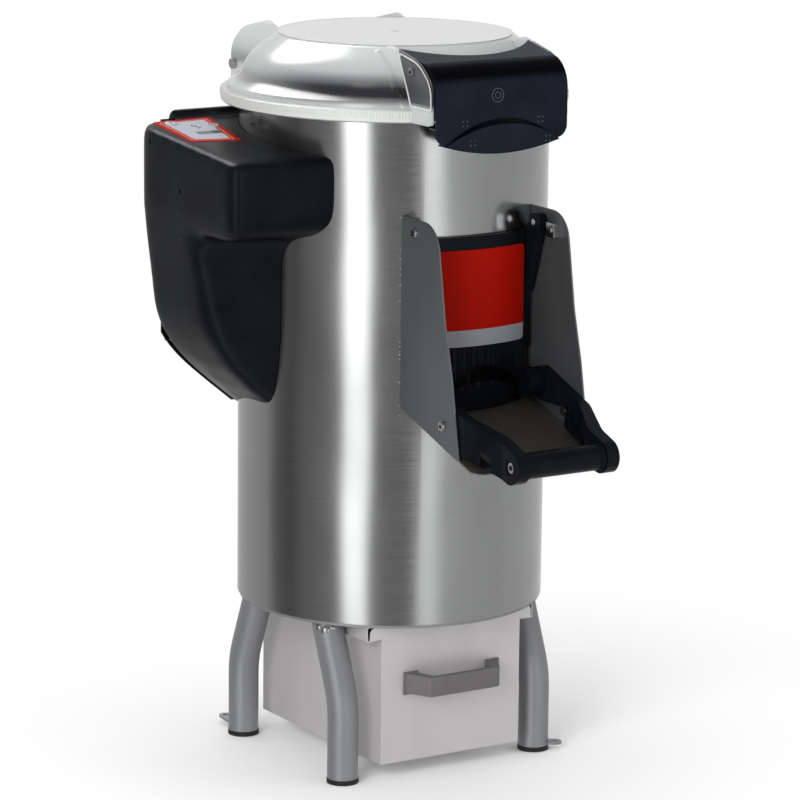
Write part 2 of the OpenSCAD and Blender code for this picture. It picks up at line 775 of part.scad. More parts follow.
module door_outline(y0, y1) {
    w = door_w / 2;
    l = door_low_w / 2;
    front_plate(rounded([[-l, door_z0 - 8, 0], [l, door_z0 - 8, 0], [l, door_step_z, 2], [w, door_step_z, 4],
        [w, door_z1, 5], [-w, door_z1, 5], [-w, door_step_z, 4], [-l, door_step_z, 2]]), y0, y1);
}

// The pocket behind the scoop stays clear of the sides of the mouth.
pocket_half_w = mouth_w / 2 - 6;

module door_panel() {
    pocket_r = drum_r - 11;
    wall = 3;
    color("black") difference() {
        union() {
            intersection() {
                tube(door_r, door_in, door_z0 - 10, door_z1);
                door_outline(-door_r - 1, -150);
            }
            // Backing of the grip pocket, inside the mouth
            intersection() {
                tube(door_in + 1, pocket_r - wall, scoop_z + 3, scoop_top_z + wall);
                lens_prism(scoop_half_w + 13 + wall, scoop_z, scoop_top_z - scoop_z + wall, 60, -door_r, -100);
                translate([-pocket_half_w - wall, -door_r, 0]) cube([2 * pocket_half_w + 2 * wall, 100, 700]);
            }
            both_sides() difference() {
                union() {
                    bar_x(ear_x0, ear_x1 - 3, door_pivot_y, door_pivot_z, ear_r);
                    bar_x(ear_x1 - 3, ear_x1, door_pivot_y, door_pivot_z, ear_r - 1.5);
                    side_plate([[door_pivot_y - ear_r, door_pivot_z], [180, door_z1 - 5], [180, 630], [190, 630],
                        [door_pivot_y + 8, door_pivot_z - 16], [door_pivot_y + ear_r, door_pivot_z]],
                        ear_x0, ear_x1 - 3);
                    bar_x(knuckle_x0, arm_in - 1, bail_pivot_y, bail_pivot_z, knuckle_r);
                    side_plate([[180, bail_pivot_z - knuckle_r], [bail_pivot_y, bail_pivot_z - knuckle_r],
                        [bail_pivot_y, bail_pivot_z + knuckle_r], [180, bail_pivot_z + knuckle_r]],
                        knuckle_x0, arm_in - 1);
                }
                cylinder_at(door_in, 400, 800);
            }
            // The scoop that the fingers lift
            intersection() {
                lens_prism(scoop_half_w + 4, scoop_z, scoop_lip_z - scoop_z, scoop_z - scoop_low_z, -240, -150);
                translate([0, 0, scoop_low_z - 1]) difference() {
                    cylinder(r1 = door_r - 0.5, r2 = door_r + scoop_r, h = scoop_lip_z - scoop_low_z + 2);
                    translate([0, 0, -0.1]) cylinder(r1 = door_r - 3.6, r2 = door_r + scoop_r - 3,
                        h = scoop_lip_z - scoop_low_z + 2.3);
                }
            }
        }
        // Hollow of the pocket
        intersection() {
            cylinder_at(door_r + scoop_r * 2, scoop_z + 6, scoop_top_z + 1);
            difference() {
                lens_prism(scoop_half_w + 13, scoop_z, scoop_top_z - scoop_z, 60, -door_r - 1, -100);
                cylinder_at(pocket_r, 400, 700);
            }
            translate([-pocket_half_w, -door_r - 1, 0]) cube([2 * pocket_half_w, 200, 700]);
        }
        both_sides() union() {
            bar_x(ear_x0 - 1, ear_x1 + 1, door_pivot_y, door_pivot_z, pivot_d / 2 + pin_fit);
            bar_x(knuckle_x0 + 4, arm_in, bail_pivot_y, bail_pivot_z, pivot_d / 2 + 0.02);
        }
        // Underside, parallel with the chute's floor
        on_chute() translate([-120, -200, door_gap - 100]) cube([240, 300, 100]);
    }
}

module door_gasket() {
    color("black") difference() {
        intersection() {
            tube(door_in - fit, drum_r + 0.4, 480, 720);
            union() translate([0, 0, (mouth_z0 + mouth_z1) / 2])
                front_plate(box_outline(mouth_w + 13, mouth_h + 13, 14), -210, -120);
        }
        mouth_cutter(1);
    }
}

plate_half_w = 74;
plate_z0 = 571;
plate_z1 = 694;

module door_plate() {
    color("darkred") intersection() {
        tube(door_r + 0.9, door_r + 0.05, plate_z0, plate_z1);
        translate([0, 0, (plate_z0 + plate_z1) / 2])
            front_plate(box_outline(2 * plate_half_w, plate_z1 - plate_z0, 6), -door_r - 2, -150);
    }
}

// ---- Bail ------------------------------------------------------------------

hub_r = 20;
boss_r = 21;

module bail_arms() {
    c1 = [bail_pivot_y, bail_pivot_z];
    c2 = [grip_y, grip_z];
    n = unit([c1.y - c2.y, c2.x - c1.x]);
    belly = [c1.x + 83, c1.y - 58];
    neck = grip_half + 2;
    front = grip_y + 25;
    color("black") both_sides() difference() {
        intersection() {
            union() {
                bar_x(50, 110, c1.x, c1.y, hub_r);
                bar_x(50, 110, c2.x, c2.y, boss_r);
                side_plate([c1 + hub_r * n, c2 + boss_r * n, c2 - boss_r * n, belly, c1 - hub_r * n], 50, 110);
            }
            linear_extrude(height = 700) polygon(rounded([[arm_out, -bail_pivot_y + 30, 0],
                [arm_out, -grip_y + 72, 30], [arm_out - 19, -grip_y + 18, 30], [arm_out - 19, -front, 0],
                [grip_half, -front, 0], [grip_half, -grip_y + 26, 20], [arm_in, -grip_y + 76, 44],
                [arm_in, -bail_pivot_y + 30, 0]]));
        }
        // Channel on the inner side, which leaves a flange along the top
        side_plate([c1 + [30, -1], c2 + [-34, 6], c2 + [-34, -14], belly + [4, 8], c1 + [60, -30]],
            arm_in - 30, arm_in + 5);
        bar_x(arm_in - 1, arm_out + 1, bail_pivot_y, bail_pivot_z, pivot_d / 2 + pin_fit);
        bar_x(0, 120, grip_y, grip_z, rod_r + pin_fit);
        bar_x(arm_out - 19 - 6, 120, grip_y, grip_z, 8.5);
        // Slot underneath that drops over the rest screw
        translate([arm_in - 30, -catch_pin_y - catch_pin_r - 0.5, catch_pin_z - 100])
            cube([60, 100, 100 + catch_pin_r + run]);
    }
}

rod_r = 4;

module bail_grip() {
    color("black") difference() {
        union() {
            bar_x(-grip_half + fit, grip_half - fit, grip_y, grip_z, grip_d / 2);
            both_sides() bar_x(grip_half - 5, grip_half - fit, grip_y, grip_z, grip_d / 2 + 1.5);
        }
        bar_x(-grip_half - 1, grip_half + 1, grip_y, grip_z, rod_r + pin_fit);
    }
}

module bail_rod() {
    end = arm_out - 19 - 6;
    color("silver") union() {
        bar_x(-end - 3, end + 3, grip_y, grip_z, rod_r);
        both_sides() bar_x(end + fit, end + 4, grip_y, grip_z, 7);
    }
}

module bail_pins() {
    color("silver") both_sides()
        bar_x(knuckle_x0 + 4.2, arm_out - 0.4, bail_pivot_y, bail_pivot_z, pivot_d / 2);
}

// ---- Lid -------------------------------------------------------------------

dome_r = ring_in - fit;
rim_z = ring_z0 + 8.1;
flat_r = lid_flat_d / 2;
waist = [dome_r - 19.7, lid_z1 - 46];
flare_z = rim_z + 14;

// Outer profile of the dome as [radius, height], from its rim to its middle.
dome_outer = concat([[dome_r, rim_z]],
    cubic([dome_r, flare_z], [dome_r - 8, flare_z + 6], waist + [4, -11], waist, 8),
    cubic(waist + [-0.6, 1.6], waist + [-9, 24], [flat_r + 14, lid_z1 - 12], [flat_r, lid_z1], 10),
    [[0, lid_z1]]);

// Moves every point of a path to its left by d.
function inset(pts, d) =
    [for (i = [0:len(pts) - 1])
        let (t = unit(pts[min(i + 1, len(pts) - 1)] - pts[max(i - 1, 0)]))
        pts[i] + d * [-t.y, t.x]];

function reversed(pts) = [for (i = [len(pts) - 1:-1:0]) pts[i]];

module dome_solid() {
    rotate_extrude($fn = 180) polygon(concat(dome_outer, [[0, rim_z - 20], [dome_r, rim_z - 20]]));
}

// One ear of the lid, drawn in front of the axis on the right.
module lid_ear() {
    side_plate(rounded([[112, lid_z1 - 30, 0], [115, lid_z1 - 8, 2], [150, lid_z1 + 4, 16], [216, lid_z1 - 11, 60],
        [245, lid_z1 - 37, 34], [246, ring_z0 + 3, 4], [236, ring_z0 + 1, 0], [195, ring_z0 + 1, 0],
        [180, ring_z0 + 30, 0]]), ear_in, ear_out);
}

module lid_dome() {
    color("lightgray") union() {
        rotate_extrude($fn = 180) polygon(concat(dome_outer, reversed(inset(dome_outer, lid_t))));
        difference() {
            for (turn = [0, 1]) mirror([0, turn, 0]) both_sides() lid_ear();
            dome_solid();
            cylinder_at(ring_r + fit, 800, ring_z0 + ring_h + fit);
            bar_x(-120, 120, flap_pivot_y, flap_pivot_z, flap_pin_d / 2 + pin_fit);
            bar_x(-120, 120, -lid_pin_y, lid_pin_z, lid_pin_d / 2 + pin_fit);
        }
    }
}

lip_r = drum_r + rim_bead_r + 3;

module lid_ring() {
    z1 = ring_z0 + ring_h;
    color("white") rotate_extrude($fn = 180) polygon([[lip_r, ring_z0], [ring_r - 2, ring_z0], [ring_r, ring_z0 + 2],
        [ring_r, z1 - 2.5], [ring_r - 2.5, z1], [ring_in, z1], [ring_in, rim_z - fit], [lip_r, rim_z - fit]]);
}

module lid_gasket() {
    color("dimgray") rotate_extrude($fn = 180) polygon([[drum_r - 3, drum_z1 + run], [lip_r - fit, drum_z1 + run],
        [lip_r - fit, rim_z - fit], [lip_r - 4, rim_z - fit], [lip_r - 5, drum_z1 + 2], [drum_r - 3, drum_z1 + 2]]);
}

// ---- Latch flap ------------------------------------------------------------

flap_top = [160, lid_z1 + 1, 0];
flap_corner_z = lid_z1 - 18;
flap_bend_r = 38;
lens_half_w = 82;
lens_up = 31;
lens_down = 13;
pocket_depth = 12;

module latch_flap() {
    w = flap_w / 2;
    y = flap_y;
    section = rounded([flap_top, [y, flap_corner_z, flap_bend_r], [y, flap_z0 - 6, 0], [y - flap_t, flap_z0 - 6, 0],
        [y - flap_t, flap_corner_z - flap_t, flap_bend_r - flap_t], flap_top - [0.5, flap_t, 0]]);
    web = rounded([flap_top - [3, 3, 0], [y - 1, flap_corner_z - 1, flap_bend_r - 1], [y - 1, flap_z0 + 32, 0],
        [231, flap_z0 + 32, 8], [203, flap_z0 + 47, 60], [184, flap_z0 + 65, 60], [166, flap_z0 + 84, 30]]);
    color("black") difference() {
        union() {
            difference() {
                intersection() {
                    side_plate([for (p = section) [p.x, p.y]], -w, w);
                    front_plate(rounded([[-w, flap_z0, 16], [w, flap_z0, 16], [w, lid_z1 + 9, 0],
                        [-w, lid_z1 + 9, 0]]), -y - 1, -100);
                }
                lens_prism(lens_half_w, flap_z0 - 1, lens_up, lens_down, -y - 1, -y + flap_t + 1);
            }
            both_sides() side_plate([for (p = web) [p.x, p.y]], w - flap_t, w);
            // Pocket behind the arch
            difference() {
                lens_prism(lens_half_w + 3, flap_z0 - 1, lens_up + 3, lens_down, -y + 0.5, -y + pocket_depth + 3);
                lens_prism(lens_half_w, flap_z0 - 1, lens_up, lens_down - 3, -y - 1, -y + pocket_depth);
            }
            // The scoop that the fingers pull
            intersection() {
                lens_prism(lens_half_w + 2, flap_z0 - 1, lens_up - 6, lens_down, -y - 20, -y + 20);
                side_plate([[y - 3, flap_z0 - 16], [y, flap_z0 - 16], [y + 9, flap_z0 + 26], [y + 6, flap_z0 + 26]],
                    -w, w);
            }
            // Rib that meets the catch
            translate([-latch_half_w, -y + pocket_depth + 1, flap_z0 + 4])
                cube([2 * latch_half_w, y - pocket_depth - 1 - latch_y - 1.5, flap_t]);
        }
        translate([0, -70, 900]) cylinder(r = 132.8, h = 90);
        bar_x(-120, 120, flap_pivot_y, flap_pivot_z, flap_pin_d / 2 + pin_fit);
        // Hollow under the middle, in front of the ring
        cylinder_at(ring_r + 3, latch_z1 + 1, ring_z0 + ring_h + 1);
    }
}

module latch_screws() {
    color("silver") both_sides() union() {
        bar_x(ear_in - 8, ear_out + 0.5, flap_pivot_y, flap_pivot_z, flap_pin_d / 2);
        bar_x(ear_out + fit / 2, ear_out + 3, flap_pivot_y, flap_pivot_z, flap_pin_d);
    }
}

latch_half_w = 67;
latch_y = 214;
latch_z1 = 849;

module latch_catch() {
    t = 2;
    color("silver") difference() {
        union() {
            translate([-latch_half_w, -latch_y, latch_z1 - t]) cube([2 * latch_half_w, 60, t]);
            translate([-latch_half_w, -latch_y, latch_z1 - 14]) cube([2 * latch_half_w, t, 14]);
        }
        cylinder_at(drum_r + fit, 800, 900);
    }
}

// ---- Lid hinge -------------------------------------------------------------

bracket_half_w = 88;
foot_half_w = 60;
barrel_r = 8.5;

module lid_hinge_bracket() {
    foot_z = 795;
    color("dimgray") difference() {
        union() {
            bar_x(-bracket_half_w, bracket_half_w, -lid_pin_y, lid_pin_z, barrel_r);
            translate([-bracket_half_w, lid_pin_y - 7, foot_z + 45])
                cube([2 * bracket_half_w, 14, lid_pin_z - foot_z - 45]);
            translate([0, lid_pin_y + 7, 0]) front_plate(rounded([[-foot_half_w, foot_z, 8], [foot_half_w, foot_z, 8],
                [foot_half_w, foot_z + 45, 0], [bracket_half_w, foot_z + 53, 0], [-bracket_half_w, foot_z + 53, 0],
                [-foot_half_w, foot_z + 45, 0]]), -14, 0);
            translate([-foot_half_w, 185, foot_z]) cube([2 * foot_half_w, lid_pin_y + 7 - 185, 53]);
        }
        cylinder_at(drum_r + fit, 700, 900);
        for (x = [-38, 0, 38]) translate([x, 190, foot_z + 10]) cube([28, lid_pin_y - 197, 60], center = false);
        bar_x(-bracket_half_w - 1, bracket_half_w + 1, -lid_pin_y, lid_pin_z, lid_pin_d / 2 + pin_fit);
    }
}

module lid_hinge_pin() {
    color("silver") union() {
        bar_x(-ear_out - 1, ear_out + 1, -lid_pin_y, lid_pin_z, lid_pin_d / 2);
        both_sides() bar_x(ear_out + run, ear_out + 5, -lid_pin_y, lid_pin_z, 7);
    }
}

// ---- Control housing -------------------------------------------------------

drum_clear = drum_r + 0.3;
console_z0 = 705;
belly_x0 = 195;
belly_y0 = 46;
belly_x1 = 288;
groove_y = 3;
groove_depth = 4.5;
back_corner_r = 45;
back_x0 = 261;

// The housing's side and underside as [x, z], from its upper left corner round
// to the drum, moved inwards by d.
function housing_side(d, top) = let (
    down = cubic([-box_x, 735], [-box_x + 4, 716], [-box_x + 24, 630], [-281, 600], 8),
    round1 = cubic([-281, 600], [-276, 575], [-262, 541], [-225, 508], 8),
    under = cubic([-225, 508], [-205, 490], [-180, 470], [-150, 446], 6),
    path = inset(concat([[-box_x, top - 12]], down, [for (i = [1:8]) round1[i]], [for (i = [1:6]) under[i]]), d))
    concat([[-100, top], [-box_x + 10 + d, top], [-box_x + 3 + d, top - 3]], path, [[-100, 446]]);

// Plan of the housing from y0 to its rounded back corner, moved inwards by d.
function housing_plan(d, y0, r0) = rounded([[-box_x + d, y0, r0], [-100, y0, 0],
    [-100, box_back - d, 0], [-box_x + d, box_back - d, back_corner_r - d]]);

// The whole outer form, with every face moved inwards by d.
module housing_form(d) {
    rise = (box_front + box_back) * tan(box_tilt);
    // Console with the keypad
    intersection() {
        front_plate(housing_side(d, box_z1 + rise + 1), -box_front, box_back);
        side_plate(rounded([[box_front - d, box_z1 - d, 9], [-box_back, box_z1 + rise - d, 1],
            [-box_back, console_z0 + d, 0], [box_front - d, console_z0 + d, 38]]), -box_x, -100);
        linear_extrude(height = 1000) polygon(housing_plan(d, -box_front + d, 14));
    }
    // Side body behind the groove
    intersection() {
        front_plate(housing_side(d, console_z0 + 20), groove_y + d, box_back);
        linear_extrude(height = console_z0 + 5) polygon(housing_plan(d, groove_y + d, 0));
    }
    // Front body, whose face slants back from the drum
    intersection() {
        front_plate(housing_side(d + groove_depth, console_z0 + 20), -box_front, box_back - 50);
        linear_extrude(height = console_z0 + 5) polygon(rounded([[-100, -belly_y0 - 47 + d, 0],
            [-belly_x0, -belly_y0 + d * 1.1, 0], [-belly_x1, d * 1.1, 12], [-330, 20.8 + d, 0], [-330, 90, 0],
            [-100, 90, 0]]));
    }
}

// Concave blend under the console, along the slanting front face.
module console_blend() {
    r = 28;
    lean = atan2(belly_y0, belly_x1 - belly_x0);
    intersection() {
        translate([-belly_x0, -belly_y0, console_z0 - r]) rotate([0, 0, -lean]) translate([-100, -r, 0])
            difference() {
                cube([160, r + 6, r + 1]);
                translate([-1, 0, 0]) rotate([0, 90, 0]) cylinder(r = r, h = 162);
            }
        front_plate(housing_side(groove_depth, console_z0 + 20), -box_front, box_back - 20);
    }
}

back_t = 2.5;
ledge_t = 8;
// Screw bosses as [x, z, thickness of the back plate there]
boss_spots = [[-236, 822, ledge_t], [-178, 822, ledge_t], [-249.5, 543, back_t], [-186, 487, back_t]];
boss_y = 104;

module control_housing() {
    inner_top = box_z1 + (box_front + box_back) * tan(box_tilt) - box_wall - 3;
    color("black") difference() {
        union() {
            difference() {
                union() {
                    housing_form(0);
                    console_blend();
                }
                housing_form(box_wall);
                // Open back
                intersection() {
                    front_plate(housing_side(box_wall, inner_top), boss_y, box_back + 1);
                    translate([-back_x0 + box_wall, 0, 0]) cube([back_x0, box_back + 2, 1000]);
                }
            }
            // Screw bosses of the back plate
            intersection() {
                for (p = boss_spots) translate([p.x, boss_y, p.y]) rotate([-90, 0, 0])
                    cylinder(r = 7, h = box_back - boss_y - fit);
                housing_form(0.5);
            }
        }
        cylinder_at(drum_clear, 400, 900);
        for (p = boss_spots) translate([p.x, boss_y + 4, p.y]) rotate([-90, 0, 0]) cylinder(r = 2.1, h = 60);
        on_slope() for (k = key_spots) translate([k.x, k.y, -20]) cylinder(r = key_d / 2 + 0.25, h = 40);
        // Recesses of the side screws
        for (p = [[17, 758], [95, 812]]) translate([-box_x - 1, p.x, p.y]) rotate([0, 90, 0])
            cylinder(r = 3.5, h = 2.6);
    }
}

module housing_back() {
    color("black") difference() {
        union() translate([0, box_back + fit, 0]) {
            intersection() {
                front_plate(housing_side(1, box_z1 + (box_front + box_back) * tan(box_tilt) - 2), 0, back_t);
                translate([-back_x0, -1, 452]) cube([back_x0, 20, 500]);
            }
            // Ledge along the top, towards the drum
            front_plate(rounded([[-253, 800, 3], [-140, 800, 0], [-140, 841, 5], [-243, 841, 10]]), 0, ledge_t);
        }
        cylinder_at(drum_clear, 400, 900);
        for (p = boss_spots) translate([p.x, boss_y, p.y]) rotate([-90, 0, 0]) cylinder(r = 2.6, h = 60);
        translate([gland_x, boss_y, gland_z]) rotate([-90, 0, 0]) cylinder(r = gland_r + fit, h = 60);
    }
}

module housing_screws() {
    color("silver") for (p = boss_spots) translate([p.x, boss_y + 10, p.y]) rotate([-90, 0, 0]) union() {
        head_z = box_back - boss_y - 10 + fit + p.z + 0.05;
        cylinder(r = 2, h = head_z + 1);
        translate([0, 0, head_z]) cylinder(r = 4.5, h = 3);
    }
}

// The frame of the housing's sloping top: its surface is the plane z = 0 and
// its front edge is y = 0.
module on_slope() {
    translate([0, -box_front, box_z1]) rotate([box_tilt, 0, 0]) children();
}

panel_t = 0.9;
key_stem_r = 4;
slope_scale = 1 / cos(box_tilt);

// A place on the sloping top, from its x and y in plan.
function on_top(x, y) = [x, (y + box_front) * slope_scale];

key_spots = [on_top(-269, 107), on_top(-248.5, 83), on_top(-222.5, 82.5)];

// The panel's outline, moved inwards by d.
function panel_outline(d) = let (
    a = on_top(-295 + d, 10 + d), b = on_top(-227.5 - d * 1.4, -1.5 + d),
    c = on_top(-200 - d * 1.2, 130 - d), e = on_top(-287 + d * 1.3, 123 - d),
    k1 = on_top(-291 + d, 70), k2 = on_top(-292.5 + d, 43))
    [[a.x, a.y, 5], [b.x, b.y, 3], [c.x, c.y, 4], [e.x, e.y, 4], [k1.x, k1.y, 18], [k2.x, k2.y, 18]];

module keypad_panel() {
    color("gainsboro") on_slope() difference() {
        translate([0, 0, 0.05]) linear_extrude(height = panel_t) polygon(rounded(panel_outline(0)));
        for (k = key_spots) translate([k.x, k.y, -1]) cylinder(r = key_d / 2 + 0.25, h = 4);
    }
}

module key_at(i) {
    on_slope() translate([key_spots[i].x, key_spots[i].y, 0]) union() {
        translate([0, 0, -box_wall - 3]) cylinder(r = key_d / 2, h = box_wall + 3 + panel_t + 1.5);
        translate([0, 0, -16]) cylinder(r = key_stem_r, h = 12);
        translate([0, 0, -box_wall - 5]) cylinder(r = key_d / 2 + 1.5, h = 5 - key_travel + 0.9);
    }
}

module key_start() color("green") key_at(0);
module key_stop() color("red") key_at(1);
module key_timer() color("gray") key_at(2);

module key_switches() {
    color("dimgray") on_slope() for (k = key_spots) translate([k.x, k.y, 0]) difference() {
        translate([-8, -8, board_z + 2 + fit]) cube([16, 16, 14]);
        translate([0, 0, -18]) cylinder(r = key_stem_r + fit, h = 20);
    }
}

board_z = -26;

module circuit_board() {
    x0 = -287;
    y0 = 184;
    w = 79;
    l = 58;
    color("darkgreen") on_slope() union() {
        translate([x0, y0, board_z]) cube([w, l, 2]);
        for (x = [x0 + 4, x0 + w - 4], y = [y0 + 4, y0 + l - 4]) translate([x, y, board_z + 1])
            cylinder(r = 3, h = -board_z - 1 - box_wall - fit);
        translate([x0 + 8, y0 + 8, board_z + 1]) cube([18, 12, 9]);
    }
}

module contactor() {
    color("whitesmoke") union() {
        translate([-250, box_back - 62, 640]) cube([46, 62, 72]);
        translate([-246, box_back - 70, 656]) cube([38, 10, 40]);
    }
}

gland_x = -236;
gland_z = 572;
gland_r = 10;

module cable_gland() {
    color("gray") translate([gland_x, box_back, gland_z]) rotate([-90, 0, 0]) difference() {
        union() {
            translate([0, 0, -10]) cylinder(r = gland_r, h = 20);
            translate([0, 0, -6]) cylinder(r = 14, h = 6, $fn = 6);
            translate([0, 0, fit + back_t + 0.05]) cylinder(r = 14, h = 7, $fn = 6);
            translate([0, 0, 9]) cylinder(r = 12, h = 12);
        }
        translate([0, 0, -11]) cylinder(r = 5, h = 40);
    }
}

drum_shell();
base_ring();
tank_floor();
abrasive_liner();
bearing_housing();
shaft_bearings();
shaft_seal();
motor_mount();
drive_motor();
drive_belt();
drain_duct();
inlet_valve();
spray_nozzle();
leg_front_left();
leg_front_right();
leg_rear_left();
leg_rear_right();
rubber_feet();
fixing_lugs();
drawer_rails();
cheek_left();
cheek_right();
chute_floor();
door_pivot_screws();
bail_rest_screws();
door_switch();
latch_catch();
lid_hinge_bracket();
lid_hinge_pin();
control_housing();
housing_back();
keypad_panel();
circuit_board();
key_switches();
contactor();
cable_gland();
housing_screws();
abrasive_disc();
disc_cap();
drive_shaft();
driven_pulley();
motor_pulley();
drawer_box();
drawer_filter();
drawer_handle();
lid_dome();
lid_ring();
lid_gasket();
latch_flap();
latch_screws();
door_panel();
door_gasket();
door_plate();
bail_arms();
bail_grip();
bail_rod();
bail_pins();
key_start();
key_stop();
key_timer();
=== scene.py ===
"""Electric potato peeler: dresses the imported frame, adds fine pieces, and sets camera and light."""

import json
import logging
import math
from collections.abc import Callable, Iterator, Sequence
from contextlib import contextmanager
from dataclasses import dataclass, field
from enum import Enum
from typing import ClassVar

import bmesh
import bpy
from mathutils import Matrix, Vector

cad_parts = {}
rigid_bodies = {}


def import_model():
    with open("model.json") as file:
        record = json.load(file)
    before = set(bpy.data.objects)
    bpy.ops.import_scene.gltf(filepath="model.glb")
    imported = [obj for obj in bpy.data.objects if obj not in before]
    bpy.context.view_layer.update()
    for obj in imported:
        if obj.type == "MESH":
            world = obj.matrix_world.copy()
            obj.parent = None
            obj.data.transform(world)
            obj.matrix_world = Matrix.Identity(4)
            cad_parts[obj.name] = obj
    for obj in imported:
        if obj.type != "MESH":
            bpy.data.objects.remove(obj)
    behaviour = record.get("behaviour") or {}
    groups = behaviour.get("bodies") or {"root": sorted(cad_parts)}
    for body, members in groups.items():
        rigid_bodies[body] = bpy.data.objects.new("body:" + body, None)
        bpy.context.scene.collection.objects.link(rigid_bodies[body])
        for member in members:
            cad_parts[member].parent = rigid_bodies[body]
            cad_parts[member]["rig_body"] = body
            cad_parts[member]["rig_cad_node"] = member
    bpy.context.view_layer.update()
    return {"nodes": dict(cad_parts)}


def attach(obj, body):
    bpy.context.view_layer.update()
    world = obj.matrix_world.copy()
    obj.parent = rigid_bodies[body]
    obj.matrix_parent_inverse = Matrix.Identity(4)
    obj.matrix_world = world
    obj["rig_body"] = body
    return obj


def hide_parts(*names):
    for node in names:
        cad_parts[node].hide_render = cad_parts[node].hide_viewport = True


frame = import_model()

LOG = logging.getLogger("peeler")
MM = 0.001

Tree = bpy.types.NodeTree
Node = bpy.types.Node
Socket = bpy.types.NodeSocket
Inputs = dict[str | int, object]
Triple = Sequence[float]
Outline = list[tuple[float, float]]
FaceTest = Callable[[Vector, Vector], bool]


class Body(Enum):
    """The rigid bodies that pieces ride on."""

    ROOT = "root"
    DRAWER = "drawer"
    LID = "lid"
    FLAP = "flap"
    DOOR = "door"
    BAIL = "bail"
    START = "start_key"
    STOP = "stop_key"
    TIMER = "timer_key"


class Grain(Enum):
    """The way a sheet was brushed, as the stretch of its scratches along X, Y and Z."""

    ROUND = (0.02, 0.02, 1.0)
    UPRIGHT = (1.0, 1.0, 0.02)
    CROSSWISE = (0.02, 1.0, 1.0)


# ---- Shader helpers ---------------------------------------------------------


def linear(hex_colour: str) -> tuple[float, float, float, float]:
    """Turns an sRGB hex colour into a linear one.

    Args:
        hex_colour: Six hex digits, such as "c0c0c0".

    Returns:
        Linear red, green, blue, and an alpha of 1.
    """
    parts = [int(hex_colour[i : i + 2], 16) / 255 for i in (0, 2, 4)]
    red, green, blue = (p / 12.92 if p <= 0.04045 else ((p + 0.055) / 1.055) ** 2.4 for p in parts)
    return red, green, blue, 1.0


def add_node(tree: Tree, kind: str, inputs: Inputs | None = None, **settings: object) -> Node:
    """Adds a node, sets its properties, and sets or links its sockets.

    Args:
        tree: The tree that gets the node.
        kind: The node's Blender type without its prefix, such as "Math".
        inputs: A value or an output socket for each input, by name or number.
        settings: The node's own properties.

    Returns:
        The new node.
    """
    node = tree.nodes.new("ShaderNode" + kind)
    for name, value in settings.items():
        setattr(node, name, value)
    for key, value in (inputs or {}).items():
        if isinstance(value, Socket):
            tree.links.new(value, node.inputs[key])
        else:
            node.inputs[key].default_value = value
    return node


def ramp(tree: Tree, value: Socket, stops: Sequence[tuple[float, Triple]]) -> Socket:
    """Turns a value into colours by stops.

    Args:
        tree: The tree that gets the ramp.
        value: The value, from 0 to 1.
        stops: Each stop's place and its colour.

    Returns:
        The colour socket.
    """
    node = add_node(tree, "ValToRGB", {"Fac": value})
    elements = node.color_ramp.elements
    elements.remove(elements[-1])
    for i, (place, colour) in enumerate(stops):
        element = elements[0] if i == 0 else elements.new(place)
        element.position = place
        element.color = colour
    return node.outputs["Color"]


def eye_rays(tree: Tree) -> Socket:
    """Picks the rays that show a thing to the eye, straight or through the clear lid.

    Args:
        tree: The tree that gets the nodes.

    Returns:
        A socket that is 1 for such a ray and 0 for any other.
    """
    ray = add_node(tree, "LightPath").outputs
    either = {0: ray["Is Camera Ray"], 1: ray["Is Transmission Ray"]}
    return add_node(tree, "Math", either, operation="MAXIMUM").outputs[0]


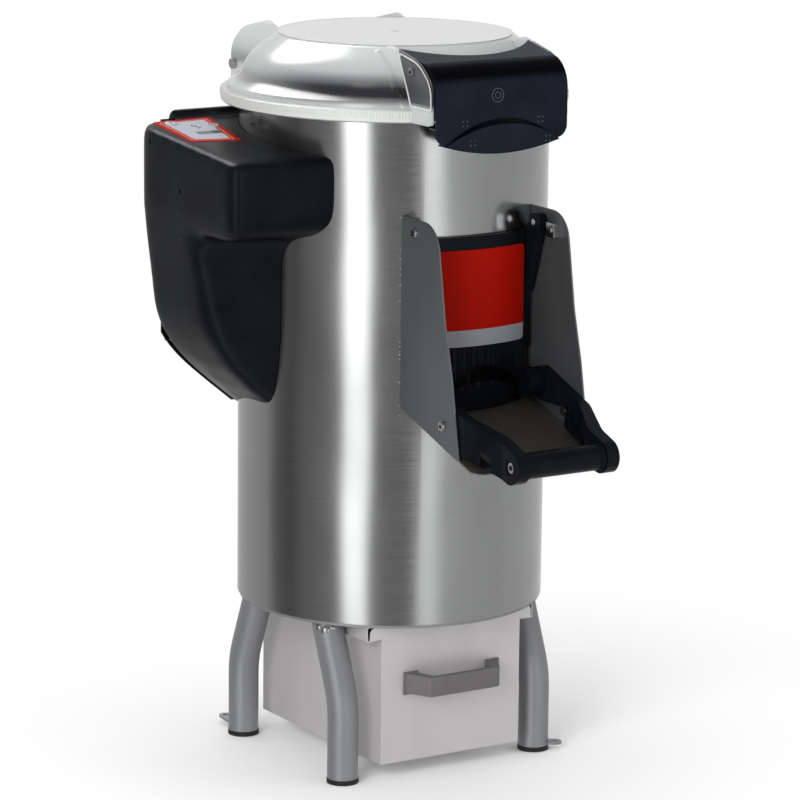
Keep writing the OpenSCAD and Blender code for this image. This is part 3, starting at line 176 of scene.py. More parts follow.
@dataclass(frozen=True)
class Finish:
    """What every finish has: a name, a colour, and how it shines."""

    name: str
    colour: str
    roughness: float = 0.5
    metallic: float = 0.0
    ior: float = 1.5
    specular: float = 0.5
    edge_mm: float = 0.8

    # How much smoother the dark parts of its noise are, and how much rougher the bright parts
    ROUGH_SPREAD = (-0.05, 0.06)
    # How deep its relief is, in millimetres
    DEPTH_MM = 0.03

    def build(self) -> bpy.types.Material:
        """Makes the material and lets the finish add its own pattern.

        Returns:
            The material.
        """
        material = bpy.data.materials.new(self.name)
        material.use_nodes = True
        tree = material.node_tree
        shader = tree.nodes["Principled BSDF"]
        shader.inputs["Base Color"].default_value = linear(self.colour)
        shader.inputs["Roughness"].default_value = self.roughness
        shader.inputs["Metallic"].default_value = self.metallic
        if self.metallic < 1:
            shader.inputs["IOR"].default_value = self.ior
            shader.inputs["Specular IOR Level"].default_value = self.specular
        material.diffuse_color = linear(self.colour)
        for name, value in self.pattern(tree).items():
            tree.links.new(value, shader.inputs[name])
        return material

    def pattern(self, tree: Tree) -> dict[str, Socket]:
        """Draws the finish's pattern.

        Args:
            tree: The material's tree.

        Returns:
            What each input of the Principled shader gets.
        """
        raise NotImplementedError

    def noise(self, tree: Tree, size_mm: float, stretch: Triple = (1, 1, 1), detail: float = 3) -> Socket:
        """Makes noise whose grains have a real size.

        Args:
            tree: The material's tree.
            size_mm: Size of a grain, in millimetres.
            stretch: Less than 1 makes the grain longer along that axis.
            detail: How much finer noise lies in it.

        Returns:
            The noise's value socket.
        """
        place = add_node(tree, "TexCoord").outputs["Object"]
        scale = [s / (size_mm * MM) for s in stretch]
        mapped = add_node(tree, "Mapping", {"Vector": place, "Scale": scale})
        fine = {"Vector": mapped.outputs["Vector"], "Scale": 1.0, "Detail": detail}
        return add_node(tree, "TexNoise", fine).outputs["Fac"]

    def spread(self, tree: Tree, value: Socket, low: float, high: float) -> Socket:
        """Maps noise, which lies mostly between 0.3 and 0.7, on a range from low to high."""
        span = {"Value": value, "From Min": 0.3, "From Max": 0.7, "To Min": low, "To Max": high}
        return add_node(tree, "MapRange", span).outputs["Result"]

    def tint(self, tree: Tree, value: Socket, dark: str, light: str) -> Socket:
        """Blends two colours by noise."""
        blend = {"Factor": self.spread(tree, value, 0.0, 1.0), "A": linear(dark), "B": linear(light)}
        return add_node(tree, "Mix", blend, data_type="RGBA").outputs["Result"]

    def rough(self, tree: Tree, value: Socket) -> Socket:
        """Varies the roughness by noise."""
        low, high = (self.roughness + more for more in self.ROUGH_SPREAD)
        return self.spread(tree, value, low, high)

    def relief(self, tree: Tree, height: Socket, depth_mm: float = 0.0) -> Socket:
        """Lets a height raise the surface, over edges that catch the light as worn ones do.

        Args:
            tree: The material's tree.
            height: The height, from 0 to 1.
            depth_mm: What a height of 1 is, in millimetres, if it isn't the finish's usual depth.

        Returns:
            The normal socket.
        """
        edges = add_node(tree, "Bevel", {"Radius": self.edge_mm * MM}, samples=6).outputs["Normal"]
        depth = (depth_mm or self.DEPTH_MM) * MM
        bump = {"Height": height, "Strength": 1.0, "Distance": depth, "Normal": edges}
        return add_node(tree, "Bump", bump).outputs["Normal"]


@dataclass(frozen=True)
class BrushedSteel(Finish):
    """Stainless sheet, brushed with a belt: long fine scratches all one way, under faint clouding.

    Rolled thin sheet also waves a little, which bends the edges of its long highlights.
    """

    metallic: float = 1.0
    grain: Grain = Grain.ROUND
    scratch_mm: float = 0.8
    contrast: float = 0.05
    scratch_depth_mm: float = 0.0012
    wave_mm: float = 140.0
    wave_depth_mm: float = 0.0

    ROUGH_SPREAD = (-0.04, 0.05)
    CLOUD_MM = 70.0
    CLOUD_LEVEL = (0.95, 1.04)
    CLOUD_ROUGHNESS = (-0.02, 0.03)

    def pattern(self, tree: Tree) -> dict[str, Socket]:
        """Draws the scratches as coarse as the picture can hold, the clouding, and the waves."""
        scratches = self.noise(tree, self.scratch_mm, self.grain.value, 4)
        clouds = self.noise(tree, self.CLOUD_MM, (1, 1, 0.4), 2)
        levels = {
            0: self.spread(tree, scratches, 1 - self.contrast, 1 + self.contrast),
            1: self.spread(tree, clouds, *self.CLOUD_LEVEL),
        }
        level = add_node(tree, "Math", levels, operation="MULTIPLY").outputs[0]
        tone = {0: linear(self.colour)[:3], "Scale": level}
        shade = add_node(tree, "VectorMath", tone, operation="SCALE").outputs["Vector"]
        parts = {0: self.rough(tree, scratches), 1: self.spread(tree, clouds, *self.CLOUD_ROUGHNESS)}
        rough = add_node(tree, "Math", parts, operation="ADD").outputs[0]
        height = scratches
        if self.wave_depth_mm:
            waves = self.noise(tree, self.wave_mm, (1, 1, 0.45), 1)
            heights = {0: waves, 1: self.wave_depth_mm / self.scratch_depth_mm, 2: scratches}
            height = add_node(tree, "Math", heights, operation="MULTIPLY_ADD").outputs[0]
        normal = self.relief(tree, height, self.scratch_depth_mm)
        return {"Base Color": shade, "Roughness": rough, "Normal": normal}


@dataclass(frozen=True)
class CastMetal(Finish):
    """Metal left as it came from the mould or was turned: a grainy, slightly cloudy shine."""

    metallic: float = 1.0
    light: str = "b4b4b2"
    grain_mm: float = 1.2

    ROUGH_SPREAD = (-0.06, 0.08)

    def pattern(self, tree: Tree) -> dict[str, Socket]:
        """Blends two greys in grains and roughens the surface with them."""
        grains = self.noise(tree, self.grain_mm, detail=4)
        colour = self.tint(tree, grains, self.colour, self.light)
        rough = self.rough(tree, grains)
        return {"Base Color": colour, "Roughness": rough, "Normal": self.relief(tree, grains)}


@dataclass(frozen=True)
class MouldedPlastic(Finish):
    """Spark-eroded ABS: a fine leathery texture breaks up a soft sheen, and the colour is a little uneven.

    Where a band of heights is given, the colour is darkened across it, as painted shade over the flap's bend.
    """

    light: str = "23262d"
    texture_mm: float = 1.1
    cloud_mm: float = 45.0
    # The heights in millimetres where the painted shade over the bend starts, is full, is full still, and
    # ends
    bend: tuple[float, ...] = ()
    # How dark the painted shade makes the colour at its fullest
    painted_shade_level: float = 0.05

    def pattern(self, tree: Tree) -> dict[str, Socket]:
        """Adds the texture, drawn coarser than the real one so that it shows, the uneven colour, and any
        painted shade over the bend.
        """
        texture = self.noise(tree, self.texture_mm, detail=2)
        colour = self.tint(tree, self.noise(tree, self.cloud_mm, detail=3), self.colour, self.light)
        # Painted shade: the colour is darkened between the bend's heights
        if self.bend:
            place = add_node(tree, "TexCoord").outputs["Object"]
            height = add_node(tree, "SeparateXYZ", {"Vector": place}).outputs["Z"]
            low, full, full_still, high = (z * MM for z in self.bend)
            sides = []
            for outer, inner in ((low, full), (high, full_still)):
                side = {"Value": height, "From Min": inner, "From Max": outer, "To Min": self.painted_shade_level}
                sides.append(add_node(tree, "MapRange", side).outputs["Result"])
            level = add_node(tree, "Math", dict(enumerate(sides)), operation="MAXIMUM").outputs[0]
            tone = {0: colour, "Scale": level}
            colour = add_node(tree, "VectorMath", tone, operation="SCALE").outputs["Vector"]
        rough = self.rough(tree, texture)
        return {"Base Color": colour, "Roughness": rough, "Normal": self.relief(tree, texture)}


@dataclass(frozen=True)
class ClearPlastic(Finish):
    """Injection-moulded polycarbonate: glossy outside, hazy inside, and dark low down in front.

    The dark part low in front is painted shade and the lighter tones above are painted light, standing in for
    the drum showing through; the ears get painted shade too.
    """

    ior: float = 1.585
    milk: float = 0.5
    # Colours of the haze by height in millimetres, in front and behind, with painted shade and painted light
    # graded into them
    front_haze_and_shade: tuple[tuple[float, str], ...] = ((860.0, "dfe1de"),)
    rear_haze_and_shade: tuple[tuple[float, str], ...] = ((860.0, "dfe1de"),)
    # Painted shade: the colour where the lid's two ears stand over the dark flap
    ear_haze_and_shade: str = "dfe1de"
    coat: float = 0.0
    matt_above_mm: float = 945.6

    ROUGH_SPREAD = (0.0, 0.03)
    DEPTH_MM = 0.15
    # Sizes of the slow waves and the specks in its surface, in millimetres
    WAVE_MM = 60.0
    SPECK_MM = 5.0
    # The heights in millimetres between which the haze is graded
    LOW = 860.0
    HIGH = 950.0
    # Where the front haze and its painted shade give way to the rear ones, in metres along Y
    FRONT_TO_REAR = {"From Min": -0.11, "From Max": 0.05}
    # An ear lies past EAR_X, ahead of a slanting line, and above EAR_FOOT, all in metres
    EAR_X = 0.0985
    EAR_SLANT = (0.0, 1.0, -0.45)
    EAR_LINE = -0.594
    EAR_FOOT = 0.884
    HAZE_ROUGHNESS = 0.3
    HAZE_SPECULAR = 0.2
    COAT_ROUGHNESS = 0.12

    def haze(self, tree: Tree, height: Socket, colours: Sequence[tuple[float, str]]) -> Socket:
        """Grades the haze by height, through colours at heights in millimetres, which paint shade and light
        into it.
        """
        span = self.HIGH - self.LOW
        return ramp(tree, height, [((z - self.LOW) / span, linear(colour)) for z, colour in colours])

    def in_ear(self, tree: Tree, place: Socket) -> Socket:
        """Tells whether a point is in one of the lid's ears.

        Args:
            tree: The material's tree.
            place: The point.

        Returns:
            A socket that is 1 in an ear and 0 elsewhere.
        """
        part = add_node(tree, "SeparateXYZ", {"Vector": place}).outputs
        outside = add_node(tree, "Math", {0: part["X"]}, operation="ABSOLUTE").outputs[0]
        slant = {0: place, 1: self.EAR_SLANT}
        along = add_node(tree, "VectorMath", slant, operation="DOT_PRODUCT").outputs["Value"]
        tests = (
            (outside, "GREATER_THAN", self.EAR_X),
            (along, "LESS_THAN", self.EAR_LINE),
            (part["Z"], "GREATER_THAN", self.EAR_FOOT),
        )
        ear: Socket | float = 1.0
        for value, test, limit in tests:
            passed = add_node(tree, "Math", {0: value, 1: limit}, operation=test).outputs[0]
            ear = add_node(tree, "Math", {0: passed, 1: ear}, operation="MULTIPLY").outputs[0]
        return ear

    def pattern(self, tree: Tree) -> dict[str, Socket]:
        """Lets light through a haze whose colour changes with height as painted shade and light, under a
        smooth glossy skin.
        """
        shader = tree.nodes["Principled BSDF"]
        shader.inputs["Transmission Weight"].default_value = 1.0
        place = add_node(tree, "TexCoord").outputs["Object"]
        part = add_node(tree, "SeparateXYZ", {"Vector": place}).outputs
        span = {"Value": part["Z"], "From Min": self.LOW * MM, "From Max": self.HIGH * MM}
        height = add_node(tree, "MapRange", span).outputs["Result"]
        back = {"Value": part["Y"], **self.FRONT_TO_REAR}
        behind = add_node(tree, "MapRange", back, interpolation_type="SMOOTHSTEP").outputs["Result"]
        # The haze colours carry painted shade and painted light by height
        colour = self.haze(tree, height, self.front_haze_and_shade)
        rear = self.haze(tree, height, self.rear_haze_and_shade)
        over = ((behind, rear), (self.in_ear(tree, place), linear(self.ear_haze_and_shade)))
        for share, other in over:
            blend = {"Factor": share, "A": colour, "B": other}
            colour = add_node(tree, "Mix", blend, data_type="RGBA").outputs["Result"]
        haze = add_node(tree, "BsdfPrincipled", {"Base Color": colour, "Roughness": self.HAZE_ROUGHNESS})
        haze.inputs["Specular IOR Level"].default_value = self.HAZE_SPECULAR
        haze.inputs["Coat Roughness"].default_value = self.COAT_ROUGHNESS
        # The flat top is finely textured, so it has no glossy skin
        below = {0: part["Z"], 1: self.matt_above_mm * MM}
        wall = add_node(tree, "Math", below, operation="LESS_THAN").outputs[0]
        skin = add_node(tree, "Math", {0: wall, 1: self.coat}, operation="MULTIPLY").outputs[0]
        tree.links.new(skin, haze.inputs["Coat Weight"])
        mix = {"Fac": self.milk, 1: shader.outputs["BSDF"], 2: haze.outputs["BSDF"]}
        both = add_node(tree, "MixShader", mix).outputs["Shader"]
        tree.links.new(both, tree.nodes["Material Output"].inputs["Surface"])
        specks = self.noise(tree, self.SPECK_MM, detail=4)
        waves = self.noise(tree, self.WAVE_MM, detail=1)
        return {"Roughness": self.rough(tree, specks), "Normal": self.relief(tree, waves)}


@dataclass(frozen=True)
class Enamel(Finish):
    """Stoved paint: smooth, with a slight orange peel."""

    peel_mm: float = 3.0
    coat: float = 0.2

    ROUGH_SPREAD = (-0.03, 0.03)
    DEPTH_MM = 0.02

    def pattern(self, tree: Tree) -> dict[str, Socket]:
        """Adds the orange peel and a thin clear coat's shine."""
        tree.nodes["Principled BSDF"].inputs["Coat Weight"].default_value = self.coat
        peel = self.noise(tree, self.peel_mm, detail=2)
        return {"Roughness": self.rough(tree, peel), "Normal": self.relief(tree, peel)}


@dataclass(frozen=True)
class Grit(Finish):
    """Silicon carbide grit in resin: coarse glinting grains."""

    light: str = "6a6a70"
    grit_mm: float = 2.4

    DEPTH_MM = 0.8

    def pattern(self, tree: Tree) -> dict[str, Socket]:
        """Raises each grain and gives it its own grey."""
        place = add_node(tree, "TexCoord").outputs["Object"]
        grains = add_node(tree, "TexVoronoi", {"Vector": place, "Scale": 1 / (self.grit_mm * MM)})
        split = add_node(tree, "SeparateColor", {"Color": grains.outputs["Color"]})
        colour = self.tint(tree, split.outputs[0], self.colour, self.light)
        return {"Base Color": colour, "Normal": self.relief(tree, grains.outputs["Distance"])}


@dataclass(frozen=True)
class TwoToneLabel(Finish):
    """Screen-printed vinyl: one flat colour over a grey foot band, with a faint tooth in the ink."""

    band: str = "8b8c92"
    split_mm: float = 592.0
    tooth_mm: float = 0.9
    wave_mm: float = 25.0

    TOOTH_LEVEL = (0.97, 1.03)

    def pattern(self, tree: Tree) -> dict[str, Socket]:
        """Changes the ink at the split height and gives both a fine tooth."""
        place = add_node(tree, "TexCoord").outputs["Object"]
        height = add_node(tree, "SeparateXYZ", {"Vector": place}).outputs["Z"]
        above = add_node(tree, "Math", {0: height, 1: self.split_mm * MM}, operation="GREATER_THAN")
        inks = {"Factor": above.outputs[0], "A": linear(self.band), "B": linear(self.colour)}
        ink = add_node(tree, "Mix", inks, data_type="RGBA").outputs["Result"]
        level = self.spread(tree, self.noise(tree, self.tooth_mm, detail=2), *self.TOOTH_LEVEL)
        shade = add_node(tree, "VectorMath", {0: ink, "Scale": level}, operation="SCALE").outputs["Vector"]
        return {"Base Color": shade, "Normal": self.relief(tree, self.noise(tree, self.wave_mm, detail=1))}


@dataclass(frozen=True)
class PrintedFilm(Finish):
    """Back-printed polyester film: a flat red frame with a light line in it round a pale field."""

    corners: tuple[tuple[float, float], ...] = ()
    frame_colour: str = "9e1304"
    line_colour: str = "e0a597"
    line_from_mm: float = 7.0
    line_to_mm: float = 8.2
    field_from_mm: float = 11.5
    grain_mm: float = 1.2

    DEPTH_MM = 0.01

    def pattern(self, tree: Tree) -> dict[str, Socket]:
        """Measures how far a point lies inside each edge, and prints by the least of these."""
        place = add_node(tree, "TexCoord").outputs["Object"]
        least: Socket | None = None
        for i, (x0, y0) in enumerate(self.corners):
            x1, y1 = self.corners[(i + 1) % len(self.corners)]
            length = math.hypot(x1 - x0, y1 - y0)
            inward = ((y0 - y1) / length, (x1 - x0) / length, 0.0)
            across = add_node(tree, "VectorMath", {0: place, 1: inward}, operation="DOT_PRODUCT")
            start = (inward[0] * x0 + inward[1] * y0) * MM
            gap = {0: across.outputs["Value"], 1: start}
            inside = add_node(tree, "Math", gap, operation="SUBTRACT").outputs[0]
            if least is None:
                least = inside
            else:
                least = add_node(tree, "Math", {0: least, 1: inside}, operation="MINIMUM").outputs[0]
        colour: Socket | tuple[float, ...] = linear(self.frame_colour)
        steps = (
            (self.line_from_mm, self.line_colour),
            (self.line_to_mm, self.frame_colour),
            (self.field_from_mm, self.colour),
        )
        for depth, ink in steps:
            past = add_node(tree, "Math", {0: least, 1: depth * MM}, operation="GREATER_THAN")
            inks = {"Factor": past.outputs[0], "A": colour, "B": linear(ink)}
            colour = add_node(tree, "Mix", inks, data_type="RGBA").outputs["Result"]
        return {"Base Color": colour, "Normal": self.relief(tree, self.noise(tree, self.grain_mm, detail=2))}


@dataclass(frozen=True)
class Matt(Finish):
    """Rubber, felt-tip ink, bare laminate, and the painted shade in sockets: hardly any shine, with a dusty
    unevenness.
    """

    light: str = "2a2a2c"
    grain_mm: float = 2.0

    DEPTH_MM = 0.04

    def pattern(self, tree: Tree) -> dict[str, Socket]:
        """Blends two close colours in grains."""
        grains = self.noise(tree, self.grain_mm, detail=4)
        colour = self.tint(tree, grains, self.colour, self.light)
        return {"Base Color": colour, "Normal": self.relief(tree, grains)}


# The keypad's outline in plan, in millimetres, taken anticlockwise.
KEYPAD_CORNERS = ((-295.0, 10.0), (-227.5, -1.5), (-200.0, 130.0), (-287.0, 123.0), (-291.0, 70.0))
# The haze at the lid's flat top, which is the same all round
TOP_HAZE = ((945.4, "d2d4d3"), (945.7, "dadbd9"))


@dataclass
class FinishShelf:
    """Every finish, built once and handed out by name."""

    made: dict[str, bpy.types.Material] = field(default_factory=dict)

    FINISHES = (
        BrushedSteel(
            "brushed_drum", "a4a5a5", 0.18, contrast=0.035, scratch_depth_mm=0.0014, wave_depth_mm=5.0
        ),
        BrushedSteel("brushed_cheek", "6c6e70", 0.38, metallic=0.72, grain=Grain.UPRIGHT, contrast=0.07),
        # A darker copy of the stainless steel for the chute floor: painted shade
        BrushedSteel("tray_steel_painted_shade", "8a8580", 0.3, metallic=0.86, grain=Grain.CROSSWISE, contrast=0.03),
        BrushedSteel("satin_sheet", "c5c2c3", 0.45, metallic=0.45, grain=Grain.CROSSWISE, contrast=0.02),
        BrushedSteel(
            "satin_tube",
            "8d8e90",
            0.5,
            metallic=0.64,
            grain=Grain.UPRIGHT,
            contrast=0.03,
            scratch_depth_mm=0.0004,
        ),
        CastMetal("bright_fastener", "a8a8aa", 0.22, light="c9c9ca", grain_mm=2.0),
        CastMetal("cast_aluminium", "8f8f8d", 0.42),
        CastMetal("weld_bead", "8a8a8c", 0.3, light="c2c2c3", grain_mm=1.4),
        MouldedPlastic("black_abs", "090a0e", 0.33, light="0f1216", specular=0.085),
        # The flap's plastic, with painted shade in a band across its bend
        MouldedPlastic(
            "blue_black_abs", "0f121b", 0.3, light="161a26", specular=0.1, bend=(911.0, 918.0, 930.0, 934.0)
        ),
        MouldedPlastic("grey_abs", "4c4d4f", 0.45, light="5c5d5f"),
        MouldedPlastic("handle_nylon", "5e5c5d", 0.5, light="666465", specular=0.3),
        MouldedPlastic("white_nylon", "d6d6d2", 0.4, light="e4e4e0", texture_mm=1.6),
        MouldedPlastic("key_cap", "aeb1b8", 0.35, light="bbbec4", texture_mm=1.6),
        # The lid's haze is painted dark low in front and lighter above: painted shade and painted light
        ClearPlastic(
            "clear_lid",
            "f4f6f6",
            0.08,
            milk=0.74,
            front_haze_and_shade=(
                (876.0, "c6c8c7"), (883.0, "7a7b7c"), (888.0, "202122"), (898.0, "2b2c2d"),
                (907.0, "7b7c7d"), (916.0, "b8baba"), (930.0, "cacccc"), *TOP_HAZE,
            ),
            rear_haze_and_shade=(
                (884.0, "ced0cf"), (890.0, "949595"), (897.0, "949596"),
                (908.0, "bcbebe"), (925.0, "cfd1d1"), *TOP_HAZE,
            ),
            ear_haze_and_shade="46474a",
            coat=1.0,
            edge_mm=0.4,
        ),
        # The ring's rear haze is a little darker: painted shade
        ClearPlastic(
            "milky_ring",
            "f1f3f1",
            0.22,
            milk=0.8,
            front_haze_and_shade=((860.0, "cfd1ce"),),
            rear_haze_and_shade=((860.0, "c8cac7"),),
            ear_haze_and_shade="cfd1ce",
        ),
        Enamel("motor_enamel", "4b5158", 0.4),
        Grit("carbide_grit", "1d1d20", 0.6),
        TwoToneLabel("door_label", "9a0f04", 0.5, specular=0.04),
        PrintedFilm("keypad_film", "b0b3ba", 0.45, specular=0.04, corners=KEYPAD_CORNERS),
        Matt("black_rubber", "101011", 0.75, light="1c1c1d"),
        Matt("black_ink", "15161a", 0.5, light="1d1e22"),
        # Near-black painted shade for the wells of hexagon sockets
        Matt("recess_painted_shade", "050506", 0.6, light="0a0a0b"),
        Matt("green_laminate", "14452a", 0.4, light="1d5a38"),
    )

    def build(self) -> None:
        """Builds every finish."""
        for finish in self.FINISHES:
            self.made[finish.name] = finish.build()

    def dress(self, nodes: Sequence[str], finish: str) -> None:
        """Gives CAD nodes a finish.

        Args:
            nodes: Names of the nodes.
            finish: Name of the finish.
        """
        for node in nodes:
            mesh = frame["nodes"][node].data
            mesh.materials.clear()
            mesh.materials.append(self.made[finish])
            LOG.info("%s gets %s", node, finish)


# ---- Modelling helpers ------------------------------------------------------


def select(*objects: bpy.types.Object) -> None:
    """Selects these objects alone, since an operator acts on all that is selected.

    Args:
        objects: The objects, of which the first becomes the active one.
    """
    bpy.ops.object.select_all(action="DESELECT")
    for obj in objects:
        obj.select_set(True)
    bpy.context.view_layer.objects.active = objects[0]


@contextmanager
def edit_mode() -> Iterator[None]:
    """Holds the active piece in edit mode, at first with all of it selected."""
    bpy.ops.object.mode_set(mode="EDIT")
    bpy.ops.mesh.select_all(action="SELECT")
    yield
    bpy.ops.object.mode_set(mode="OBJECT")


@dataclass
class Workpiece:
    """One piece on the bench: a primitive that operators shape, then dressed and set on its body.

    A new primitive is the only thing selected. Sizes and places are in millimetres, and turns are in
    degrees about each axis.
    """

    obj: bpy.types.Object

    @classmethod
    def newest(cls, name: str) -> "Workpiece":
        """Takes the newest primitive and names it.

        Args:
            name: The piece's name.

        Returns:
            The piece.
        """
        obj = bpy.context.active_object
        obj.name = name
        obj.data.name = name
        return cls(obj)

    def place(self, centre: Triple, turn: Triple = (0, 0, 0), stretch: Triple = (1, 1, 1)) -> "Workpiece":
        """Stretches, turns and moves the piece, and puts that into its mesh.

        Args:
            centre: Where its middle goes.
            turn: Its turn about each axis.
            stretch: How much it is stretched along each of its own axes.

        Returns:
            The piece.
        """
        self.obj.scale = stretch
        self.obj.rotation_euler = [math.radians(angle) for angle in turn]
        self.obj.location = Vector(centre) * MM
        bpy.ops.object.transform_apply(location=True, rotation=True, scale=True)
        return self

    @classmethod
    def block(cls, name: str, size: Triple, centre: Triple, turn: Triple = (0, 0, 0)) -> "Workpiece":
        """Adds a block with three sides round a middle."""
        bpy.ops.mesh.primitive_cube_add(size=1)
        return cls.newest(name).place(centre, turn, Vector(size) * MM)

    @classmethod
    def bar(
        cls, name: str, radius: float, depth: float, centre: Triple, turn: Triple = (0, 0, 0), sides: int = 32
    ) -> "Workpiece":
        """Adds a round or many-sided bar, which lies along Z before its turn."""
        bpy.ops.mesh.primitive_cylinder_add(vertices=sides, radius=radius * MM, depth=depth * MM)
        return cls.newest(name).place(centre, turn)

    @classmethod
    def hoop(
        cls,
        name: str,
        radius: float,
        wire: float,
        centre: Triple,
        turn: Triple = (0, 0, 0),
        stretch: Triple = (1, 1, 1),
        sides: int = 64,
    ) -> "Workpiece":
        """Spins a round section into a hoop.

        Args:
            name: The piece's name.
            radius: Radius of the hoop.
            wire: Radius of the wire.
            centre: Its middle.
            turn: Its turn about each axis.
            stretch: How much it is stretched along each of its own axes.
            sides: How many sides the hoop has.

        Returns:
            The piece.
        """
        bpy.ops.mesh.primitive_circle_add(vertices=8, radius=wire * MM)
        hoop = cls.newest(name).place((radius, 0, 0), (90, 0, 0))
        with edit_mode():
            bpy.ops.mesh.spin(steps=sides, angle=2 * math.pi, center=(0, 0, 0), axis=(0, 0, 1))
            bpy.ops.mesh.select_all(action="SELECT")
            bpy.ops.mesh.remove_doubles(threshold=1e-6)
            bpy.ops.mesh.normals_make_consistent(inside=False)
        return hoop.place(centre, turn, stretch)

    @classmethod
    def bead(cls, name: str, radius: float, centre: Triple, out: Triple, squash: float = 0.7) -> "Workpiece":
        """Adds a small round bead, cut flat a little below its middle, where it sits.

        Args:
            name: The piece's name.
            radius: Its radius.
            centre: The place it sits on.
            out: The way it stands out.
            squash: Its height as a share of its radius.

        Returns:
            The piece.
        """
        bpy.ops.mesh.primitive_uv_sphere_add(segments=12, ring_count=8, radius=radius * MM)
        bead = cls.newest(name)
        flat = (0, 0, -0.15 * radius * MM)
        with edit_mode():
            bpy.ops.mesh.bisect(plane_co=flat, plane_no=(0, 0, 1), clear_inner=True, use_fill=True)
        turn = [math.degrees(angle) for angle in Vector(out).to_track_quat("Z", "Y").to_euler()]
        return bead.place(centre, turn, (1, 1, squash))

    @classmethod
    def prism(cls, name: str, outline: Outline, axis: str, low: float, high: float) -> "Workpiece":
        """Extrudes an outline along an axis.

        Args:
            name: The piece's name.
            outline: Its corners in the other two axes, in their order.
            axis: "X", "Y" or "Z".
            low: Where it starts.
            high: Where it ends.

        Returns:
            The piece.
        """
        order = {"X": (2, 0, 1), "Y": (0, 2, 1), "Z": (0, 1, 2)}[axis]
        bpy.ops.mesh.primitive_circle_add(vertices=len(outline), radius=MM, fill_type="NGON")
        prism = cls.newest(name)
        for vertex, (a, b) in zip(prism.obj.data.vertices, outline):
            vertex.co = Vector([(a, b, low)[i] for i in order]) * MM
        push = Vector([(0, 0, high - low)[i] for i in order]) * MM
        with edit_mode():
            bpy.ops.mesh.extrude_region_move(TRANSFORM_OT_translate={"value": push})
            bpy.ops.mesh.select_all(action="SELECT")
            bpy.ops.mesh.normals_make_consistent(inside=False)
        return prism

    @classmethod
    def copy_of(cls, node: str) -> "Workpiece":
        """Copies a CAD node and merges its loose triangles, so that its curves can be shaded smooth.

        Args:
            node: The node's name.

        Returns:
            The copy.
        """
        select(frame["nodes"][node])
        bpy.ops.object.duplicate(linked=False)
        twin = bpy.context.active_object
        twin.parent = None
        twin.matrix_world = Matrix.Identity(4)
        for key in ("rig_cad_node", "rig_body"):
            del twin[key]
        with edit_mode():
            bpy.ops.mesh.remove_doubles(threshold=2e-6)
            bpy.ops.mesh.dissolve_limited(angle_limit=math.radians(0.4))
        return cls.newest(node + "_smooth")

    @classmethod
    def joined(cls, pieces: Sequence["Workpiece"]) -> "Workpiece":
        """Joins pieces into the first of them.

        Args:
            pieces: The pieces, at least two.

        Returns:
            The first piece, with all the others in it.
        """
        select(*[piece.obj for piece in pieces])
        bpy.ops.object.join()
        return pieces[0]

    def work(self, kind: str, **settings: object) -> "Workpiece":
        """Adds a modifier and applies it.

        Args:
            kind: The modifier's type, such as "BEVEL".
            settings: Its properties.

        Returns:
            The piece.
        """
        select(self.obj)
        modifier = self.obj.modifiers.new(kind.lower(), kind)
        for name, value in settings.items():
            setattr(modifier, name, value)
        bpy.ops.object.modifier_apply(modifier=modifier.name)
        return self

    def combine(self, other: "Workpiece", how: str) -> "Workpiece":
        """Joins, crosses or cuts the piece with another, which is used up.

        Args:
            other: The other piece.
            how: "UNION", "INTERSECT" or "DIFFERENCE".

        Returns:
            The piece.
        """
        self.work("BOOLEAN", object=other.obj, operation=how, solver="EXACT")
        bpy.data.objects.remove(other.obj)
        return self

    @contextmanager
    def picking(self, faces: FaceTest) -> Iterator[None]:
        """Holds the piece in edit mode with the faces selected that pass a test.

        Args:
            faces: Says whether a face is wanted, from its middle and its normal.
        """
        select(self.obj)
        with edit_mode():
            bpy.ops.mesh.select_mode(type="FACE")
            bpy.ops.mesh.select_all(action="DESELECT")
            form = bmesh.from_edit_mesh(self.obj.data)
            for face in form.faces:
                face.select = faces(face.calc_center_median() / MM, face.normal)
            form.select_flush(True)
            bmesh.update_edit_mesh(self.obj.data)
            yield

    def relax(self, faces: FaceTest, repeat: int) -> "Workpiece":
        """Melts the edges among the picked faces.

        Args:
            faces: The test that picks them.
            repeat: How many times they are smoothed.

        Returns:
            The piece.
        """
        with self.picking(faces):
            bpy.ops.mesh.vertices_smooth(factor=0.5, repeat=repeat)
        return self

    def inset(self, faces: FaceTest, width: float, depth: float) -> "Workpiece":
        """Insets faces and sinks them.

        Args:
            faces: The test that picks them.
            width: Width of the rim that stays.
            depth: How far they sink; negative raises them.

        Returns:
            The piece.
        """
        with self.picking(faces):
            bpy.ops.mesh.inset(thickness=width * MM, depth=-depth * MM)
        return self

    def soften(self, width: float, segments: int = 2, limit: float = 40) -> "Workpiece":
        """Rounds the edges that are sharper than a limit, with a bevel of some segments."""
        bevel = {"width": width * MM, "segments": segments, "angle_limit": math.radians(limit)}
        return self.work("BEVEL", limit_method="ANGLE", **bevel)

    def set_on(
        self, body: Body, slot: str, finish: bpy.types.Material, smooth: float = 35, instead_of: str = ""
    ) -> None:
        """Dresses the piece, shades it and sets it on its body.

        Args:
            body: The body it rides on.
            slot: Not used.
            finish: Its material.
            smooth: The greatest angle that is shaded smooth.
            instead_of: The CAD node that it stands for, if any.
        """
        select(self.obj)
        bpy.ops.object.shade_smooth_by_angle(angle=math.radians(smooth))
        self.work("WEIGHTED_NORMAL", keep_sharp=True, weight=80)
        self.obj.data.materials.clear()
        self.obj.data.materials.append(finish)
        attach(self.obj, body.value)
        if instead_of:
            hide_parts(instead_of)
        LOG.info("%s made on %s", self.obj.name, body.value)


